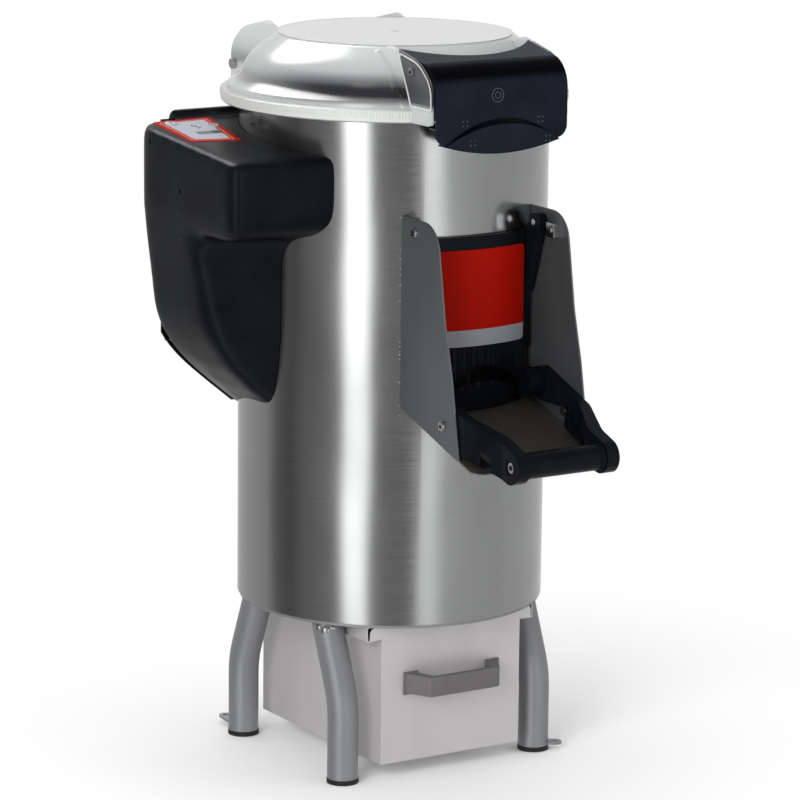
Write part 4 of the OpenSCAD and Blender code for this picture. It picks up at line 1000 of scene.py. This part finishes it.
def rounded(corners: Sequence[tuple[float, float, float]], steps: int = 8) -> Outline:
    """Rounds the corners of an outline.

    Args:
        corners: Each corner's place and radius, in millimetres.
        steps: How many steps each rounding has.

    Returns:
        The outline's points.
    """
    points: Outline = []
    for i, (x, y, radius) in enumerate(corners):
        if radius <= 0:
            points.append((x, y))
            continue
        here = Vector((x, y))
        to_last = (Vector(corners[i - 1][:2]) - here).normalized()
        to_next = (Vector(corners[(i + 1) % len(corners)][:2]) - here).normalized()
        half = to_last.angle(to_next) / 2
        middle = here + (to_last + to_next).normalized() * radius / math.sin(half)
        start = here + to_last * radius / math.tan(half) - middle
        end = here + to_next * radius / math.tan(half) - middle
        first = math.atan2(start.y, start.x)
        sweep = (math.atan2(end.y, end.x) - first + math.pi) % (2 * math.pi) - math.pi
        for k in range(steps + 1):
            angle = first + sweep * k / steps
            points.append((middle.x + radius * math.cos(angle), middle.y + radius * math.sin(angle)))
    return points


def bend(a: Triple, b: Triple, c: Triple, d: Triple, steps: int) -> Outline:
    """Finds points on a cubic bend, without its start.

    Args:
        a: Its start.
        b: The place that its start heads for.
        c: The place that its end comes from.
        d: Its end.
        steps: How many points it has.

    Returns:
        The points.
    """
    points = []
    for k in range(1, steps + 1):
        t = k / steps
        weights = ((1 - t) ** 3, 3 * t * (1 - t) ** 2, 3 * t * t * (1 - t), t**3)
        points.append(tuple(sum(w * p[i] for w, p in zip(weights, (a, b, c, d))) for i in (0, 1)))
    return points


def hex_sockets(name: str, centres: Sequence[Triple], across: float) -> Workpiece:
    """Makes the rims and shallow wells of hexagon sockets, in screw heads that face outwards along X; the
    callers dress them in near-black painted shade.

    Args:
        name: The piece's name.
        centres: Middle of each head's face, in millimetres.
        across: The sockets' width across corners, in millimetres.

    Returns:
        All of them as one piece.
    """
    wells = []
    for centre in centres:
        side = math.copysign(1, centre[0])
        well = Workpiece.bar(name, across / 2, 0.5, centre, (0, side * 90, 0), 6)
        wells.append(well.inset(lambda _, normal, side=side: normal.x * side > 0.9, across * 0.08, 0.2))
    return Workpiece.joined(wells)


# ---- Sub-assemblies ---------------------------------------------------------


@dataclass
class Assembly:
    """A group of pieces: it dresses its nodes, smooths some of them, and adds pieces of its own."""

    shelf: FinishShelf

    # The nodes that each finish goes on
    DRESSED: ClassVar[dict[str, tuple[str, ...]]] = {}
    # The nodes that a smooth copy stands for: node, body, slot, finish, greatest angle shaded smooth
    SMOOTHED: ClassVar[tuple[tuple[str, Body, str, str, float], ...]] = ()

    def build(self) -> None:
        """Builds the whole group."""
        for finish, nodes in self.DRESSED.items():
            self.shelf.dress(nodes, finish)
        for node, body, slot, finish, smooth in self.SMOOTHED:
            Workpiece.copy_of(node).set_on(body, slot, self.shelf.made[finish], smooth, node)
        self.add_pieces()

    def add_pieces(self) -> None:
        """Adds the pieces that the CAD doesn't have."""
        raise NotImplementedError


@dataclass
class Drum(Assembly):
    """The drum with its floor, drive and waterways."""

    radius: float = 200.0
    cheek_x: float = 97.5
    seam_low: float = 214.0
    seam_high: float = 786.0
    # Heights of the beads of weld
    spots: tuple[float, ...] = (
        737, 697, 684.6, 672.6, 664.6, 651.5, 631.4, 579, 573.7, 567, 563, 558, 528, 498, 486,
    )

    DRESSED = {
        "brushed_drum": ("drum_shell",),
        "satin_tube": ("base_ring", "tank_floor", "drive_shaft", "disc_cap", "shaft_bearings"),
        "carbide_grit": ("abrasive_liner", "abrasive_disc"),
        "cast_aluminium": ("bearing_housing", "motor_mount", "driven_pulley", "motor_pulley"),
        "motor_enamel": ("drive_motor",),
        "black_rubber": ("shaft_seal", "drive_belt"),
        "white_nylon": ("drain_duct", "inlet_valve", "spray_nozzle"),
    }

    def add_pieces(self) -> None:
        """Puts small beads of weld where each cheek meets the drum, and the ground seam down its back."""
        weld = self.shelf.made["weld_bead"]
        y = -math.sqrt(self.radius**2 - self.cheek_x**2) - 0.2
        for side, name in ((-1, "spot_welds_left"), (1, "spot_welds_right")):
            x = side * (self.cheek_x + 0.5)
            beads = [Workpiece.bead(name, 1.6, (x, y, z), (side * 0.5, -1, 0)) for z in self.spots]
            Workpiece.joined(beads).set_on(Body.ROOT, "steel_brushed", weld, 80)
        size = (5, 1.0, self.seam_high - self.seam_low)
        middle = (0, self.radius + 0.1, (self.seam_low + self.seam_high) / 2)
        seam = Workpiece.block("drum_seam", size, middle)
        seam.soften(0.45, 3).set_on(Body.ROOT, "steel_brushed", weld)


@dataclass
class Legs(Assembly):
    """Legs, feet, lugs and the drawer's rails."""

    top: tuple[float, float, float] = (147.6, 84.9, 205.6)
    # The blobs of weld on each leg's top: bearing in degrees, drop and radius
    blobs: tuple[tuple[float, float, float], ...] = ((-38, 6, 4.5), (-8, 9, 6.5), (22, 7, 5.5))
    # How far a leg runs outwards for each millimetre of drop, and which way its outer side faces
    lean: float = 0.41
    outer: tuple[float, float] = (0.53, 0.85)
    tube_radius: float = 19.6

    DRESSED = {
        "satin_tube": ("leg_front_left", "leg_front_right", "leg_rear_left", "leg_rear_right", "fixing_lugs"),
        "satin_sheet": ("drawer_rails",),
        "black_rubber": ("rubber_feet",),
    }

    def add_pieces(self) -> None:
        """Adds the rings and blobs of weld that hold the legs to the base."""
        x, y, z = self.top
        corners = [(sx, sy) for sx in (-1, 1) for sy in (-1, 1)]
        welds = [
            Workpiece.hoop("leg_welds", self.tube_radius + 1, 1.6, (sx * x, sy * y, z), stretch=(1, 1.08, 1))
            for sx, sy in corners
        ]
        for sx, sy in corners:
            outward = Vector((sx * self.outer[0], sy * self.outer[1], 0))
            for angle, drop, radius in self.blobs:
                away = Matrix.Rotation(math.radians(angle * sx * sy), 3, "Z") @ outward
                centre = Vector((sx * x, sy * (y + drop * self.lean), z - drop)) + away * self.tube_radius
                welds.append(Workpiece.bead("leg_welds", radius, centre, away, 0.45))
        Workpiece.joined(welds).set_on(Body.ROOT, "steel_satin", self.shelf.made["weld_bead"], 80)


@dataclass
class Chute(Assembly):
    """Cheeks, chute floor, door and bail."""

    head_x: float = 101.6
    heads: tuple[tuple[float, float], ...] = ((-206, 722), (-275, 490))
    grip_end: tuple[float, float, float] = (73.2, -390, 457)

    DRESSED = {
        "brushed_cheek": ("cheek_left", "cheek_right"),
        "tray_steel_painted_shade": ("chute_floor",),
        "bright_fastener": ("door_pivot_screws", "bail_rest_screws", "door_switch", "bail_rod", "bail_pins"),
        "black_abs": ("bail_grip",),
        "black_rubber": ("door_gasket",),
        "door_label": ("door_plate",),
    }
    SMOOTHED = (
        ("door_panel", Body.DOOR, "black_plastic", "black_abs", 30),
        ("bail_arms", Body.BAIL, "black_plastic", "black_abs", 30),
    )

    def add_pieces(self) -> None:
        """Sinks a hexagon socket in each button head, and in the grip's end bolts."""
        # The sockets' near-black is painted shade
        dark = self.shelf.made["recess_painted_shade"]
        heads = [(side * self.head_x, y, z) for side in (-1, 1) for y, z in self.heads]
        hex_sockets("cheek_sockets", heads, 5.2).set_on(Body.ROOT, "steel_bright", dark)
        x, y, z = self.grip_end
        hex_sockets("grip_sockets", [(-x, y, z), (x, y, z)], 7.0).set_on(Body.BAIL, "steel_bright", dark)


@dataclass
class Lid(Assembly):
    """The clear lid with its ring, hinge and latch flap."""

    ring_radius: float = 223.4
    rib_count: int = 350
    rib_z: float = 868.6
    rib_height: float = 8.4
    disc_radius: float = 151.0
    top_z: float = 946.0
    front_y: float = -251.0
    ring_foot: float = 858.0
    ear_face: float = 100.8
    screw: tuple[float, float, float] = (103.8, -200, 922)
    gate: tuple[float, float] = (-7.3, 893.9)

    DRESSED = {
        "black_rubber": ("lid_gasket",),
        "grey_abs": ("lid_hinge_bracket",),
        "bright_fastener": ("lid_hinge_pin", "latch_screws"),
        "brushed_cheek": ("latch_catch",),
    }
    SMOOTHED = (
        ("lid_dome", Body.LID, "clear_plastic", "clear_lid", 35),
        ("lid_ring", Body.LID, "clear_plastic", "milky_ring", 35),
        ("latch_flap", Body.FLAP, "black_plastic", "blue_black_abs", 30),
    )

    def add_pieces(self) -> None:
        """Adds the lid's ribs, line, screw sockets, mould marks and ear rims."""
        self.ribs()
        self.disc_line()
        x, y, z = self.screw
        sockets = hex_sockets("flap_sockets", [(-x, y, z), (x, y, z)], 5.6)
        # The sockets' near-black is painted shade
        sockets.set_on(Body.LID, "steel_bright", self.shelf.made["recess_painted_shade"])
        self.mould_marks()
        self.ear_rims()

    def ear_rims(self) -> None:
        """Raises the rounded rim that runs round the outer face of each front ear."""
        for side, name in ((-1, "ear_rim_left"), (1, "ear_rim_right")):
            low, high = sorted((side * self.ear_face, side * (self.ear_face + 0.9)))
            rim = Workpiece.prism(name, self.ear_outline(0.4), "X", low, high)
            inner = Workpiece.prism("cutter", self.ear_outline(2.6), "X", low - 1, high + 1)
            rim.combine(inner, "DIFFERENCE")
            rim.soften(0.4, 2, 50).set_on(Body.LID, "clear_plastic", self.shelf.made["milky_ring"])

    def ear_outline(self, inset: float) -> Outline:
        """Draws the outline of an ear's outer face.

        Args:
            inset: How far it lies inside the ear's edge, in millimetres.

        Returns:
            The outline in Y and Z.
        """
        top, foot = self.top_z, self.ring_foot + 20 + inset
        corners = [
            (-168 - inset, top - 2 - inset, 3),
            (-216, top - 11 - inset, 56 - inset),
            (-245 + inset, top - 37, 34 - inset),
            (-246 + inset, foot, 3),
            (-197 - inset, foot, 3),
        ]
        return rounded(corners, 6)

    def ribs(self) -> None:
        """Models one rib on the ring and repeats it all round."""
        size = (1.7, 1.1, self.rib_height)
        rib = Workpiece.block("ring_ribs", size, (0, -self.ring_radius - 0.05, self.rib_z))
        rib.inset(lambda _, normal: normal.y < -0.9, 0.35, -0.2)
        bpy.ops.object.empty_add(location=(0, 0, 0))
        step = bpy.context.active_object
        step.rotation_euler.z = 2 * math.pi / self.rib_count
        bpy.context.view_layer.update()
        rib.work(
            "ARRAY",
            use_relative_offset=False,
            use_object_offset=True,
            offset_object=step,
            count=self.rib_count,
        )
        bpy.data.objects.remove(step)
        rib.set_on(Body.LID, "clear_plastic", self.shelf.made["milky_ring"])

    def disc_line(self) -> None:
        """Lays the fine step round the lid's flat top and the gate mark in its middle; the step's grey line
        is painted shade.
        """
        line = Workpiece.hoop("lid_line", self.disc_radius, 0.55, (0, 0, self.top_z - 0.1), sides=180)
        mark = Workpiece.hoop("lid_line", 5.0, 0.5, (0, 0, self.top_z), sides=32)
        # The step's grey line is painted shade
        Workpiece.joined([line, mark]).set_on(Body.LID, "clear_plastic", self.shelf.made["key_cap"], 80)

    def mould_marks(self) -> None:
        """Raises the gate ring and the four groups of ejector dots on the flap's front."""
        gate = (self.gate[0], self.front_y, self.gate[1])
        marks = [
            Workpiece.hoop("flap_marks", radius, wire, gate, (90, 0, 0), sides=sides)
            for radius, wire, sides in ((8.5, 0.35, 40), (4.0, 0.3, 28))
        ]
        groups = ((-55, self.front_y, 861), (57, self.front_y, 860), (-46, -255.3, 837.4), (66, -255.2, 836))
        for x, y, z in groups:
            for dx, dz in ((-3, -3), (3, -3), (-3, 3), (3, 3)):
                marks.append(Workpiece.bead("flap_marks", 0.9, (x + dx, y, z + dz), (0, -1, 0), 0.4))
        Workpiece.joined(marks).set_on(Body.FLAP, "black_plastic", self.shelf.made["grey_abs"], 80)


@dataclass
class Housing(Assembly):
    """The control housing with its keypad and what is inside."""

    side: float = 306.0
    front: float = 118.0
    back: float = 146.0
    top: float = 810.0
    tilt: float = 4.9
    shelf_z: float = 705.0
    groove_y: float = 3.0
    wall: float = 3.0
    drum_radius: float = 200.5
    inner_x: float = -100.0
    cell: float = 3.0
    # How often the whole skin is smoothed, and after that its part below the console
    melt: int = 50
    melt_low: int = 26
    key_radius: float = 8.4
    recess_radius: float = 3.4
    film: float = 0.95
    cap: float = 2.4
    keys: tuple[tuple[float, float], ...] = ((-269, 107), (-248.5, 83), (-222.5, 82.5))
    # Y and Z of the screws in the side
    side_screws: tuple[tuple[float, float], ...] = ((17, 758), (95, 812))
    # The front body in plan: the slanting front's corners and facing, the outermost x and the rear y
    slant: tuple[tuple[float, float], ...] = ((-100.0, -93.0), (-195.0, -46.0), (-288.0, 0.0))
    facing: tuple[float, float] = (-0.44, -0.9)
    reach: float = -330.0
    rear: float = 96.0
    # Slices of the front body: from, to, how far its front stands out, and how far its edge stands in
    slices: tuple[tuple[float, float, float, float], ...] = (
        (430, 474, -22, -5.0),
        (466, 502, -14, -4.0),
        (494, 532, -8, -2.0),
        (524, 568, -3, 1.5),
        (560, 711, 0, 4.5),
        (682, 711, 5, 4.5),
        (694, 711, 13, 4.5),
    )

    DRESSED = {
        "black_abs": ("housing_back", "cable_gland"),
        "keypad_film": ("keypad_panel",),
        "green_laminate": ("circuit_board",),
        "grey_abs": ("key_switches",),
        "white_nylon": ("contactor",),
        "bright_fastener": ("housing_screws",),
        "key_cap": ("key_start", "key_stop", "key_timer"),
    }

    def add_pieces(self) -> None:
        """Adds the soft skin, the print on the keypad and the side's marks."""
        for node in ("keypad_panel", "key_start", "key_stop", "key_timer", "door_plate"):
            frame["nodes"][node].visible_glossy = False
        self.skin()
        self.ledge_fillet()
        self.key_symbols()
        self.printed_bar()
        self.side_marks()

    def on_slope(self, x: float, y: float, lift: float) -> tuple[float, float, float]:
        """Finds a place on the sloping top.

        Args:
            x: Its x, in millimetres.
            y: Its y in plan, in millimetres.
            lift: How far above the slope it is, in millimetres.

        Returns:
            The place, in millimetres.
        """
        angle = math.radians(self.tilt)
        z = self.top + (y + self.front) * math.tan(angle)
        return x, y - lift * math.sin(angle), z + lift * math.cos(angle)

    def side_outline(self, inset: float) -> Outline:
        """Draws the housing's side and underside, seen from the front.

        Args:
            inset: How far it is moved inwards, in millimetres.

        Returns:
            The outline in X and Z.
        """
        x = -self.side
        path = [(x, 850.0), (x, 735.0)]
        path += bend((x, 735), (x + 4, 716), (x + 24, 630), (-281, 600), 8)
        path += bend((-281, 600), (-276, 575), (-262, 541), (-225, 508), 8)
        path += bend((-225, 508), (-205, 490), (-180, 470), (-150, 446), 6)
        moved = []
        for i, (px, pz) in enumerate(path):
            ahead = Vector(path[min(i + 1, len(path) - 1)]) - Vector(path[max(i - 1, 0)])
            inward = Vector((-ahead.y, ahead.x)).normalized()
            moved.append((px + inward.x * inset, pz + inward.y * inset))
        return [(self.inner_x, 850.0), *moved, (self.inner_x, 446.0)]

    def console(self) -> Workpiece:
        """Builds the block with the keypad, with a sloping top and a well rounded front edge underneath.

        Returns:
            The block.
        """
        rise = (self.front + self.back) * math.tan(math.radians(self.tilt))
        section = rounded(
            [
                (-self.front, self.top, 7),
                (self.back, self.top + rise, 2),
                (self.back, self.shelf_z, 0),
                (-self.front, self.shelf_z, 38),
            ]
        )
        block = Workpiece.prism("housing_skin", section, "X", -self.side, self.inner_x)
        block.combine(Workpiece.prism("plan", self.plan(-self.front, 12), "Z", 600, 900), "INTERSECT")
        outline = Workpiece.prism("outline", self.side_outline(0), "Y", -self.front - 1, self.back + 1)
        return block.combine(outline, "INTERSECT")

    def plan(self, front: float, radius: float) -> Outline:
        """Draws the housing from above, from a front edge on, whose outer corner has a radius."""
        side, inner, back = -self.side, self.inner_x, self.back
        return rounded([(side, front, radius), (inner, front, 0), (inner, back, 0), (side, back, 45)])

    def lower_body(self) -> Workpiece:
        """Builds the side body behind the groove and the front body that slants back from the drum.

        Returns:
            Both, still lying in one another; the remesh of the skin melts them into one.
        """
        body = Workpiece.prism("side_body", self.side_outline(0), "Y", self.groove_y, self.back)
        plan = Workpiece.prism("plan", self.plan(self.groove_y, 0), "Z", 440, self.shelf_z + 8)
        parts = [body.combine(plan, "INTERSECT")]
        outward = Vector(self.facing)
        tail = [(self.reach, 20.8), (self.reach, self.rear), (self.inner_x, self.rear)]
        for low, high, grow, inset in self.slices:
            slant = [(x + outward.x * grow, y + outward.y * grow) for x, y in self.slant]
            step = Workpiece.prism("front_body", self.side_outline(inset), "Y", -self.front, self.rear)
            parts.append(step.combine(Workpiece.prism("plan", slant + tail, "Z", low, high), "INTERSECT"))
        return Workpiece.joined(parts)

    def skin(self) -> None:
        """Melts the forms into one soft moulding, hollows it, and cuts out the drum, keys and screws."""
        skin = Workpiece.joined([self.console(), self.lower_body()])
        skin.work("REMESH", mode="VOXEL", voxel_size=self.cell * MM)
        skin.relax(lambda place, _: True, self.melt)
        skin.relax(lambda place, _: place.z < self.shelf_z + 16, self.melt_low)
        skin.work("SOLIDIFY", thickness=self.wall * MM, offset=-1.0)
        cuts = [self.drum_cutter()]
        for x, y in self.keys:
            hole = self.on_slope(x, y, 0)
            cuts.append(Workpiece.bar("cutter", self.key_radius, 12, hole, (self.tilt, 0, 0)))
        for y, z in self.side_screws:
            recess = (-self.side, y, z)
            cuts.append(Workpiece.bar("cutter", self.recess_radius, 4, recess, (0, 90, 0), 24))
        skin.combine(Workpiece.joined(cuts), "DIFFERENCE")
        skin.set_on(Body.ROOT, "black_plastic", self.shelf.made["black_abs"], 40, "control_housing")

    def drum_cutter(self) -> Workpiece:
        """Makes the round bar that clears the room of the drum."""
        return Workpiece.bar("cutter", self.drum_radius, 500, (0, 0, 650), sides=180)

    def ledge_fillet(self) -> None:
        """Rounds the foot of the ledge at the back of the sloping top."""
        low = self.on_slope(0, 124, 0)
        foot = self.on_slope(0, 145.9, -2)
        section = [
            (low[1], low[2] + 0.1),
            (131.0, low[2] + 1.2),
            (136.0, low[2] + 3.0),
            (140.0, low[2] + 5.6),
            (143.0, 839.2),
            (144.6, 840.7),
            (146.0, 841.0),
            (foot[1], foot[2]),
            (low[1] + 2, low[2] - 1.5),
        ]
        fillet = Workpiece.prism("ledge_fillet", section, "X", -246, -135)
        fillet.combine(self.drum_cutter(), "DIFFERENCE")
        fillet.soften(2.2, 3, 50).set_on(Body.ROOT, "black_plastic", self.shelf.made["black_abs"])

    def key_symbols(self) -> None:
        """Prints an upright stroke, a ring, and a dial on the three keys."""
        turn = (self.tilt, 0, 0)
        ink = self.shelf.made["black_ink"]
        lift = self.cap + 0.1
        start, stop, timer = (self.on_slope(x, y, lift) for x, y in self.keys)
        hand_place = self.on_slope(self.keys[2][0], self.keys[2][1] + 1.8, lift)
        stroke = Workpiece.block("start_symbol", (2.2, 9, 0.3), start, turn).soften(0.1)
        stroke.set_on(Body.START, "key_green", ink)
        ring = Workpiece.hoop("stop_symbol", 4.0, 0.9, stop, turn, (1, 1, 0.2), 40)
        ring.set_on(Body.STOP, "key_red", ink, 80)
        dial = Workpiece.hoop("timer_symbol", 4.6, 0.7, timer, turn, (1, 1, 0.25), 40)
        hand = Workpiece.block("timer_symbol", (1.2, 5, 0.3), hand_place, turn)
        Workpiece.joined([dial, hand]).set_on(Body.TIMER, "key_grey", ink, 80)

    def printed_bar(self) -> None:
        """Lays the grey field with its dark end, in front of the keys."""
        bars = (("keypad_bar", 19, -253, "grey_abs"), ("keypad_bar_end", 14, -235.5, "black_ink"))
        for name, width, x, ink in bars:
            place = self.on_slope(x, 50, self.film)
            bar = Workpiece.block(name, (width, 15, 0.2), place, (self.tilt, 0, 0))
            bar.soften(0.08).set_on(Body.ROOT, "keypad_film", self.shelf.made[ink])

    def side_marks(self) -> None:
        """Puts a screw in each side recess and the round mark that the mould left."""
        screws = hex_sockets("side_screws", [(-self.side + 1.6, y, z) for y, z in self.side_screws], 4.6)
        # The sockets' near-black is painted shade
        screws.set_on(Body.ROOT, "steel_bright", self.shelf.made["recess_painted_shade"])
        mark = Workpiece.hoop("side_mark", 4.5, 0.3, (-self.side + 2.6, 23, 692), (0, 90, 0), sides=28)
        mark.set_on(Body.ROOT, "black_plastic", self.shelf.made["black_ink"], 80)


@dataclass
class Drawer(Assembly):
    """The filter drawer."""

    DRESSED = {"satin_sheet": ("drawer_box",), "satin_tube": ("drawer_filter",)}

    def add_pieces(self) -> None:
        """Makes the handle's smooth copy, with rounded edges."""
        handle = Workpiece.copy_of("drawer_handle").soften(0.8, 2, 50)
        nylon = self.shelf.made["handle_nylon"]
        handle.set_on(Body.DRAWER, "grey_plastic", nylon, 35, "drawer_handle")


# ---- Stage ------------------------------------------------------------------


@dataclass
class Stage:
    """Floor, lamps, world and camera."""

    azimuth: float = -32.41
    elevation: float = 11.96
    distance: float = 5291.85
    roll: float = 0.64
    shift_right: float = 11.77
    target_z: float = 462.54
    focal_px: float = 4049.47
    frame_px: float = 800.0
    sensor_mm: float = 36.0
    clip_m: float = 50.0
    floor_m: float = 12.8
    floor_gap_m: float = 0.0005
    # How far from the axis the floor starts to fade into the background, and where it is gone, in metres
    floor_fade: tuple[float, float] = (0.3, 0.95)
    # Height in metres that the lamps are aimed at
    aim_z: float = 0.45

    WHITE = (1.0, 1.0, 1.0, 1.0)
    # Each lamp's name, place in metres, watts and side in metres
    LAMPS = (
        ("key_lamp", (-2.8, -1.8, 1.5), 78, 1.8),
        ("fill_lamp", (2.6, -2.4, 1.3), 16, 2.0),
        ("top_lamp", (0.2, 0.4, 3.4), 30, 2.4),
    )
    # Half the brightness of the studio's grey walls by bearing, from -180 to 180 degrees
    WALLS = (
        (-180, 0.13), (-166, 0.17), (-160, 0.24), (-134, 0.16), (-112, 0.13), (-104, 0.16),
        (-84, 0.34), (-40, 0.30), (30, 0.35), (60, 0.45), (80, 0.30), (130, 0.24),
        (142, 0.10), (160, 0.06), (170, 0.11), (180, 0.13),
    )
    # The two bright screens that stand before them
    SCREENS = (
        (-180, 0.0), (-161, 0.0), (-155, 0.82), (-143, 0.82), (-136, 0.0), (-104, 0.0),
        (-98, 0.36), (-91, 0.36), (-80, 0.02), (-60, 0.0), (180, 0.0),
    )
    # How the screens brighten with the height of the mirrored direction
    SCREEN_GAIN = {"From Min": -0.25, "From Max": -0.14, "To Min": 1.0, "To Max": 2.3}
    # The heights of that direction between which the walls give way to a dim ceiling, and its colour
    CEILING_SPAN = {"From Min": 0.2, "From Max": 0.75}
    CEILING = (0.09, 0.092, 0.1, 1.0)
    # The softbox above: where it hangs, how its edge fades, and its brightness
    SOFTBOX_AIM = (-0.06, 0.66, 0.75)
    SOFTBOX = {"From Min": 0.92, "From Max": 0.985, "To Min": 0.0, "To Max": 4.4}
    # What brings half the brightness back to the whole
    STUDIO_GAIN = 2.0
    # The even light on all that isn't glossy
    EVEN = (0.62, 0.62, 0.63, 1.0)

    def build(self) -> None:
        """Sets up everything that isn't the object."""
        self.camera()
        self.floor()
        self.lamps()
        self.world()
        bpy.context.scene.view_settings.view_transform = "Standard"

    def camera(self) -> None:
        """Places the camera at the fitted viewing angle."""
        a, e, r = (math.radians(v) for v in (self.azimuth, self.elevation, self.roll))
        back = Vector((math.sin(a) * math.cos(e), -math.cos(a) * math.cos(e), math.sin(e)))
        level = Vector((math.cos(a), math.sin(a), 0))
        upright = back.cross(level)
        right = level * math.cos(r) + upright * math.sin(r)
        up = upright * math.cos(r) - level * math.sin(r)
        place = (back * self.distance + Vector((0, 0, self.target_z)) + level * self.shift_right) * MM
        data = bpy.data.cameras.new("camera")
        data.sensor_width = self.sensor_mm
        data.lens = self.focal_px / self.frame_px * data.sensor_width
        data.clip_end = self.clip_m
        obj = bpy.data.objects.new("camera", data)
        obj.matrix_world = Matrix.Translation(place) @ Matrix((right, up, back)).transposed().to_4x4()
        bpy.context.scene.collection.objects.link(obj)
        bpy.context.scene.camera = obj

    def floor(self) -> None:
        """Lays a white floor that takes the shadow near the machine and fades into the background."""
        bpy.ops.mesh.primitive_plane_add(size=self.floor_m)
        floor = bpy.context.active_object
        floor.name = "floor"
        floor.location.z = -self.floor_gap_m
        floor.visible_glossy = False
        material = bpy.data.materials.new("floor_paper")
        material.use_nodes = True
        tree = material.node_tree
        shader = tree.nodes["Principled BSDF"]
        shader.inputs["Base Color"].default_value = self.WHITE
        shader.inputs["Roughness"].default_value = 0.9
        shader.inputs["Specular IOR Level"].default_value = 0.0
        place = add_node(tree, "TexCoord").outputs["Object"]
        reach = add_node(tree, "VectorMath", {0: place}, operation="LENGTH").outputs["Value"]
        near, gone = self.floor_fade
        fade = {"Value": reach, "From Min": near, "From Max": gone}
        far = add_node(tree, "MapRange", fade, interpolation_type="SMOOTHSTEP").outputs["Result"]
        share = add_node(tree, "Math", {0: far, 1: eye_rays(tree)}, operation="MULTIPLY").outputs[0]
        white = add_node(tree, "Emission", {"Color": self.WHITE, "Strength": 1.0})
        mix = {"Fac": share, 1: shader.outputs["BSDF"], 2: white.outputs["Emission"]}
        both = add_node(tree, "MixShader", mix)
        tree.links.new(both.outputs["Shader"], tree.nodes["Material Output"].inputs["Surface"])
        floor.data.materials.append(material)

    def lamps(self) -> None:
        """Hangs three large soft lamps: left front, right front and above."""
        for name, place, watts, size in self.LAMPS:
            data = bpy.data.lights.new(name, "AREA")
            data.energy = watts
            data.shape = "SQUARE"
            data.size = size
            lamp = bpy.data.objects.new(name, data)
            lamp.location = place
            way = Vector((0, 0, self.aim_z)) - Vector(place)
            lamp.rotation_euler = way.to_track_quat("-Z", "Y").to_euler()
            lamp.visible_glossy = False
            bpy.context.scene.collection.objects.link(lamp)

    def world(self) -> None:
        """Sets a white background, even light, and a studio of walls and screens for the metal."""
        world = bpy.data.worlds.new("studio")
        bpy.context.scene.world = world
        world.use_nodes = True
        tree = world.node_tree
        tree.nodes.clear()
        glossy = add_node(tree, "LightPath").outputs["Is Glossy Ray"]
        studio = self.studio(tree)
        even = {"Factor": glossy, "A": self.EVEN, "B": studio}
        lit = add_node(tree, "Mix", even, data_type="RGBA").outputs["Result"]
        seen = {"Factor": eye_rays(tree), "A": lit, "B": self.WHITE}
        colour = add_node(tree, "Mix", seen, data_type="RGBA").outputs["Result"]
        sky = add_node(tree, "Background", {"Color": colour, "Strength": 1.0})
        add_node(tree, "OutputWorld", {"Surface": sky.outputs["Background"]})

    def studio(self, tree: Tree) -> Socket:
        """Draws the walls, screens, ceiling and softbox that the metal mirrors.

        Args:
            tree: The world's tree.

        Returns:
            The colour socket.
        """
        way = add_node(tree, "TexCoord").outputs["Generated"]
        part = add_node(tree, "SeparateXYZ", {"Vector": way}).outputs
        sides = {0: part["Y"], 1: part["X"]}
        bearing = add_node(tree, "Math", sides, operation="ARCTAN2").outputs[0]
        circle = {"Value": bearing, "From Min": -math.pi, "From Max": math.pi}
        turn = add_node(tree, "MapRange", circle).outputs["Result"]
        walls, screens = (
            ramp(tree, turn, [((way + 180) / 360, (level, level, level, 1.0)) for way, level in stops])
            for stops in (self.WALLS, self.SCREENS)
        )
        gain = add_node(tree, "MapRange", {"Value": part["Z"], **self.SCREEN_GAIN}).outputs["Result"]
        bright = {0: screens, "Scale": gain}
        lit = add_node(tree, "VectorMath", bright, operation="SCALE").outputs["Vector"]
        ring = add_node(tree, "VectorMath", {0: walls, 1: lit}, operation="ADD").outputs["Vector"]
        height = add_node(tree, "MapRange", {"Value": part["Z"], **self.CEILING_SPAN}).outputs["Result"]
        blend = {"Factor": height, "A": ring, "B": self.CEILING}
        room = add_node(tree, "Mix", blend, data_type="RGBA").outputs["Result"]
        aim = {0: way, 1: tuple(Vector(self.SOFTBOX_AIM).normalized())}
        close = add_node(tree, "VectorMath", aim, operation="DOT_PRODUCT").outputs["Value"]
        box = add_node(
            tree, "MapRange", {"Value": close, **self.SOFTBOX}, interpolation_type="SMOOTHSTEP"
        ).outputs["Result"]
        half = add_node(tree, "VectorMath", {0: room, 1: box}, operation="ADD").outputs["Vector"]
        whole = {0: half, "Scale": self.STUDIO_GAIN}
        return add_node(tree, "VectorMath", whole, operation="SCALE").outputs["Vector"]


def main() -> None:
    """Builds the finishes, then each sub-assembly, then the stage."""
    logging.basicConfig(level=logging.INFO, format="%(name)s: %(message)s")
    shelf = FinishShelf()
    shelf.build()
    for assembly in (Drum, Legs, Chute, Lid, Housing, Drawer):
        assembly(shelf).build()
    Stage().build()


if __name__ == "__main__":
    main()
